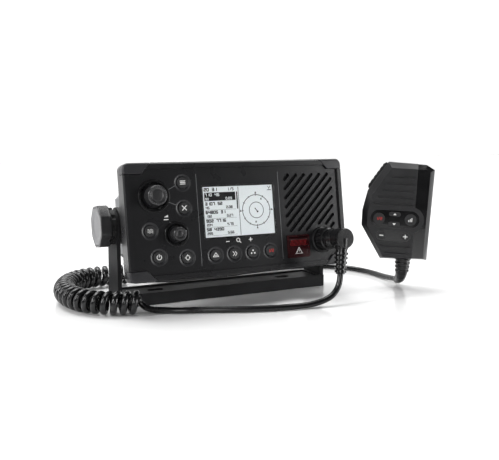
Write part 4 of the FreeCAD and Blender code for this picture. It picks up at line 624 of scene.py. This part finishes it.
def chevrons(d, x, z):
    for step in (-1.3, 0.5):
        d.path([(x + step, z + 1.5), (x + step + 1.3, z), (x + step, z - 1.5)], 0.5)


def three_dots(d, x, z):
    for angle in (math.radians(90), math.radians(210), math.radians(330)):
        d.disc((x + 1.5 * math.cos(angle), z + 1.4 * math.sin(angle)), 0.62)


def calling(d, x, z):
    d.digits("1", x - 2.3, z - 1.0, 2.0)
    d.line((x - 0.5, z - 1.1), (x + 0.4, z + 1.1), 0.36)
    d.digits("2", x + 1.2, z - 1.0, 2.0, 1.1)


KEYS = {
    "menu": ((-46.0, 27.2), three_bars), "cancel": ((-46.0, 8.8), crossed),
    "weather": ((-72.6, -6.3), waves), "power": ((-67.4, -25.2), power_sign),
    "position": ((-46.0, -27.0), target), "signal": ((-24.0, -27.0), peak),
    "scan": ((-8.75, -27.0), chevrons), "watch": ((6.5, -27.0), three_dots),
    "calling": ((21.75, -27.0), calling),
}
WELL_RING = ((4.5, -0.5), (4.75, -0.42), (5.9, 0.02), (6.15, 0.08), (6.4, 0.05), (6.5, -0.05))
for label, (place, _) in KEYS.items():
    lathe(label + "_well_ring", WELL_RING, on_face(place), "chassis", CAP, 64)
for label, (place, sign) in KEYS.items():
    mark = Drawing(KEY_TOP)
    sign(mark, *place)
    mark.finish(label + "_key_mark", CHASSIS, label + "_plunger",
                LEGEND_RED if label == "calling" else LEGEND)


# Screen picture: a list on the left and a bearing plot on the right

LEFT, RIGHT, BOTTOM, TOP = -30.1, 27.1, -13.8, 23.4
LIST_RIGHT, DIVIDER = -4.2, -1.6
FIRST_ROW, ROW_STEP = 13.4, 6.3
ROWS = (("3107 52", "45", "2.08"), ("64805 31", "132", "3.27"), ("902 7716", "204", "4.75"),
        ("58 4390", "285", "5.66"))
PLOT, OUTER_RING, INNER_RING, POINTER_RING = (12.6, 4.6), 11.6, 6.0, 13.2


def list_row(drawing, z, drop, row, weights):
    """One entry of the list: a number, with a bearing and a distance below it."""
    drawing.digits(row[0], LEFT + 1.4, z, 1.8, 1.25, weights[0])
    drawing.digits(row[1], LEFT + 1.6, z - drop, 1.5, 0.95, weights[1])
    drawing.digits(row[2], LEFT + 18.0, z - drop, 1.6, 1.0, weights[2])


ink = Drawing(FACE + 1.38, 0.03)
ink.line((DIVIDER, BOTTOM + 0.4), (DIVIDER, TOP - 0.6), 0.4)
ink.shape(rectangle(-3.4, -2.4, TOP - 17, TOP - 4.2))
ink.digits("20 31", LEFT + 1.0, TOP - 3.0, 2.0, 1.35, 0.62)
ink.digits("1", LEFT + 19.6, TOP - 3.0, 1.9, 1.1, 0.42)
ink.line((LEFT + 21.9, TOP - 3.2), (LEFT + 22.9, TOP - 0.9), 0.36)
ink.digits("5", LEFT + 23.5, TOP - 3.0, 1.9, 1.1, 0.42)
ink.shape(rectangle(LEFT + 0.8, LIST_RIGHT, TOP - 10.4, TOP - 4.2))
for number, row in enumerate(ROWS):
    z = TOP - FIRST_ROW - ROW_STEP * number
    list_row(ink, z, 2.8, row, (0.6, 0.42, 0.46))
    ink.line((LEFT + 1, z - 3.7), (LIST_RIGHT, z - 3.7), 0.16)
ink.arc(PLOT, OUTER_RING, 0.5, 0, 360, 72)
ink.arc(PLOT, INNER_RING, 0.46, 0, 360, 48)
for degrees in range(0, 360, 30):
    angle = math.radians(degrees)
    ink.line(around(PLOT, OUTER_RING - 0.7, angle), around(PLOT, OUTER_RING + 0.7, angle), 0.4)
for degrees, radius in ((90, POINTER_RING), (0, POINTER_RING), (180, POINTER_RING),
                        (270, POINTER_RING), (62, 9.6), (264, 8.8)):
    x, z = around(PLOT, radius, math.radians(degrees))
    ink.shape([(x - 0.8, z - 0.7), (x + 0.8, z - 0.7), (x, z + 1.0)])
bow, stern = (PLOT[0] + 0.9, PLOT[1] - 1.2), (PLOT[0] - 0.9, PLOT[1] + 1.2)
ink.line(stern, bow, 0.6)
ink.disc(bow, 0.7, 12)
ink.disc(stern, 0.5, 12)
ink.line((RIGHT - 4.2, TOP - 3.9), (RIGHT - 0.9, TOP - 3.9), 0.45)
ink.path([(RIGHT - 3.6, TOP - 1.0), (RIGHT - 2.6, TOP - 2.6), (RIGHT - 1.6, TOP - 1.0)], 0.38)
ink.line((RIGHT - 2.6, TOP - 2.6), (RIGHT - 2.6, TOP - 3.9), 0.38)
ink.finish("screen_picture", CHASSIS, "chassis", SCREEN_INK)
bright = Drawing(FACE + 1.34, 0.02)
list_row(bright, TOP - 6.8, 2.9, ("710 46", "90", "0.09"), (0.44, 0.3, 0.34))
bright.finish("screen_row", CHASSIS, "chassis", SCREEN)


# Handset marks

def handset_mark(name, body, draw, material=LEGEND, depth=-0.1):
    drawing = Drawing(depth)
    draw(drawing)
    drawing.finish(name, HANDSET, body, material)


handset_mark("handset_calling_mark", "handset_calling_plunger",
             lambda d: calling(d, -14.8, -5.4), LEGEND_RED)
handset_mark("handset_power_level_mark", "handset_power_level_plunger",
             lambda d: (d.line((9.0, -6.4), (9.0, -5.2), 0.6), d.line((10.2, -6.4), (10.2, -4.4), 0.6),
                        d.line((11.4, -6.4), (11.4, -3.5), 0.6)))
handset_mark("handset_up_mark", "handset_up_plunger",
             lambda d: d.shape([(-3.7, -1.8), (-0.9, -1.8), (-2.3, -0.2)]))
handset_mark("handset_down_mark", "handset_down_plunger",
             lambda d: d.shape([(-3.8, -8.5), (-1.0, -8.5), (-2.4, -10.1)]))
handset_mark("handset_minus_mark", "handset_minus_plunger",
             lambda d: d.line((-13.4, -19.0), (-10.6, -19.0), 0.7))
handset_mark("handset_plus_mark", "handset_plus_plunger",
             lambda d: (d.line((5.6, -19.0), (8.8, -19.0), 0.7),
                        d.line((7.2, -20.6), (7.2, -17.4), 0.7)))
handset_mark("handset_between_mark", "handset",
             lambda d: d.shape([(-4.6, -19.8), (0.0, -19.8), (0.0, -18.2)]), depth=0.6)


def pill(start, end, width, steps=16):
    """The outline of a slot with round ends."""
    along = (Vector(end) - Vector(start)).normalized()
    base = math.atan2(along.y, along.x)
    points = []
    for centre, first in ((end, base - PI / 2), (start, base + PI / 2)):
        points += [(centre[0] + width / 2 * math.cos(first + PI * n / steps),
                    centre[1] + width / 2 * math.sin(first + PI * n / steps))
                   for n in range(steps + 1)]
    return points


for name, depth, start, end, width in (
        ("handset_panel", 0.7, (-14.6, -5.3), (10.4, -5.0), 14.1),
        ("handset_strip", 0.6, (-12.0, -19.0), (7.2, -19.0), 8.7)):
    recess = Drawing(depth, 0.05)
    recess.shape(pill(start, end, width))
    recess.finish(name, HANDSET, "handset", HANDSET_GLOSS)
RELIEF_RINGS, FIRST_RING, RING_STEP, RELIEF_PLACE = 4, -39.6, 3.3, (6.8, 14.5, 0)
for number in range(RELIEF_RINGS):
    height, size = FIRST_RING - RING_STEP * number, 6.15 - 0.28 * number
    lathe("relief_ring%d" % number, (
        (size - 0.7, height + 1.0), (size + 0.3, height + 0.8), (size + 0.5, height + 0.5),
        (size + 0.5, height - 0.5), (size + 0.3, height - 0.8), (size - 0.7, height - 1.0)),
        HANDSET @ Matrix.Translation(RELIEF_PLACE), "handset", PLUG, 48)


# Floor, light and camera

def stage_sheet(name, cells, matrix, material, height=0.0):
    """A flat sheet of the studio, which is no piece of the model."""
    bm = bmesh.new()
    bmesh.ops.create_grid(bm, x_segments=cells, y_segments=cells, size=1)
    sheet = bpy.data.objects.new(name, baked(name, bm, matrix))
    sheet.data.materials.append(material)
    sheet.location.z = height
    bpy.context.scene.collection.objects.link(sheet)


def area_light(name, place, aim, size, power):
    light = bpy.data.lights.new(name, "AREA")
    light.shape = "RECTANGLE"
    light.size, light.size_y = size
    light.energy = power
    lamp = bpy.data.objects.new(name, light)
    lamp.location = place
    lamp.rotation_euler = (Vector(aim) - Vector(place)).to_track_quat("-Z", "Y").to_euler()
    bpy.context.scene.collection.objects.link(lamp)


FLOOR = Matrix.Translation((0, 1.12, 0)) @ Matrix.Diagonal((6, 1.5, 1, 1))
stage_sheet("floor", 8, FLOOR,
            moulded("floor_pale", (0.86, 0.86, 0.86), 0.15, 200, 0.0, 0.01), -0.0002)

# The camera sees the world white, while the model gets little light from it.
world = bpy.data.worlds.new("studio")
bpy.context.scene.world = world
world.use_nodes = True
nodes, links = world.node_tree.nodes, world.node_tree.links
nodes["Background"].inputs["Color"].default_value = (1, 1, 1, 1)
seen = nodes.new("ShaderNodeLightPath")
level = nodes.new("ShaderNodeMapRange")
level.inputs["To Min"].default_value = 0.08
level.inputs["To Max"].default_value = 1.0
links.new(seen.outputs["Is Camera Ray"], level.inputs["Value"])
links.new(level.outputs["Result"], nodes["Background"].inputs["Strength"])

BACKDROP = Matrix.Translation((0.4, 2.6, 1.2)) @ FORWARD @ Matrix.Diagonal((5, 1.4, 1, 1))
stage_sheet("backdrop", 4, BACKDROP, lit("backdrop_white", (1.0, 1.0, 1.0), 1.0))

overhead = bpy.data.lights.new("overhead", "SUN")
overhead.energy = 2.6
overhead.angle = math.radians(36)
lamp = bpy.data.objects.new("overhead", overhead)
lamp.rotation_euler = (math.radians(-20), math.radians(-8), 0)
bpy.context.scene.collection.objects.link(lamp)
area_light("right_sheet", (0.98, -0.80, 0.24), (0.06, -0.04, 0.06), (0.35, 0.45), 8)
area_light("left_strip", (-0.9, -0.05, 0.45), (-0.08, 0, 0.06), (0.10, 0.5), 6)
area_light("top_sheet", (0.45, 0.25, 1.0), (0.03, 0, 0.06), (0.6, 0.35), 4)
area_light("front_fill", (-0.55, -0.95, 0.40), (0.05, -0.04, 0.06), (0.4, 0.4), 3)

camera = bpy.data.cameras.new("camera")
camera.sensor_width = 36
camera.sensor_fit = "HORIZONTAL"
camera.lens = 50.26
camera.clip_start, camera.clip_end = 0.01, 30
viewer = bpy.data.objects.new("camera", camera)
viewer.location = (-0.2248, -0.507, 0.12995)
viewer.rotation_euler = (math.radians(90 - 8.07), 0, math.radians(-26.29))
bpy.context.scene.collection.objects.link(viewer)
bpy.context.scene.camera = viewer
bpy.context.scene.view_settings.view_transform = "Standard"
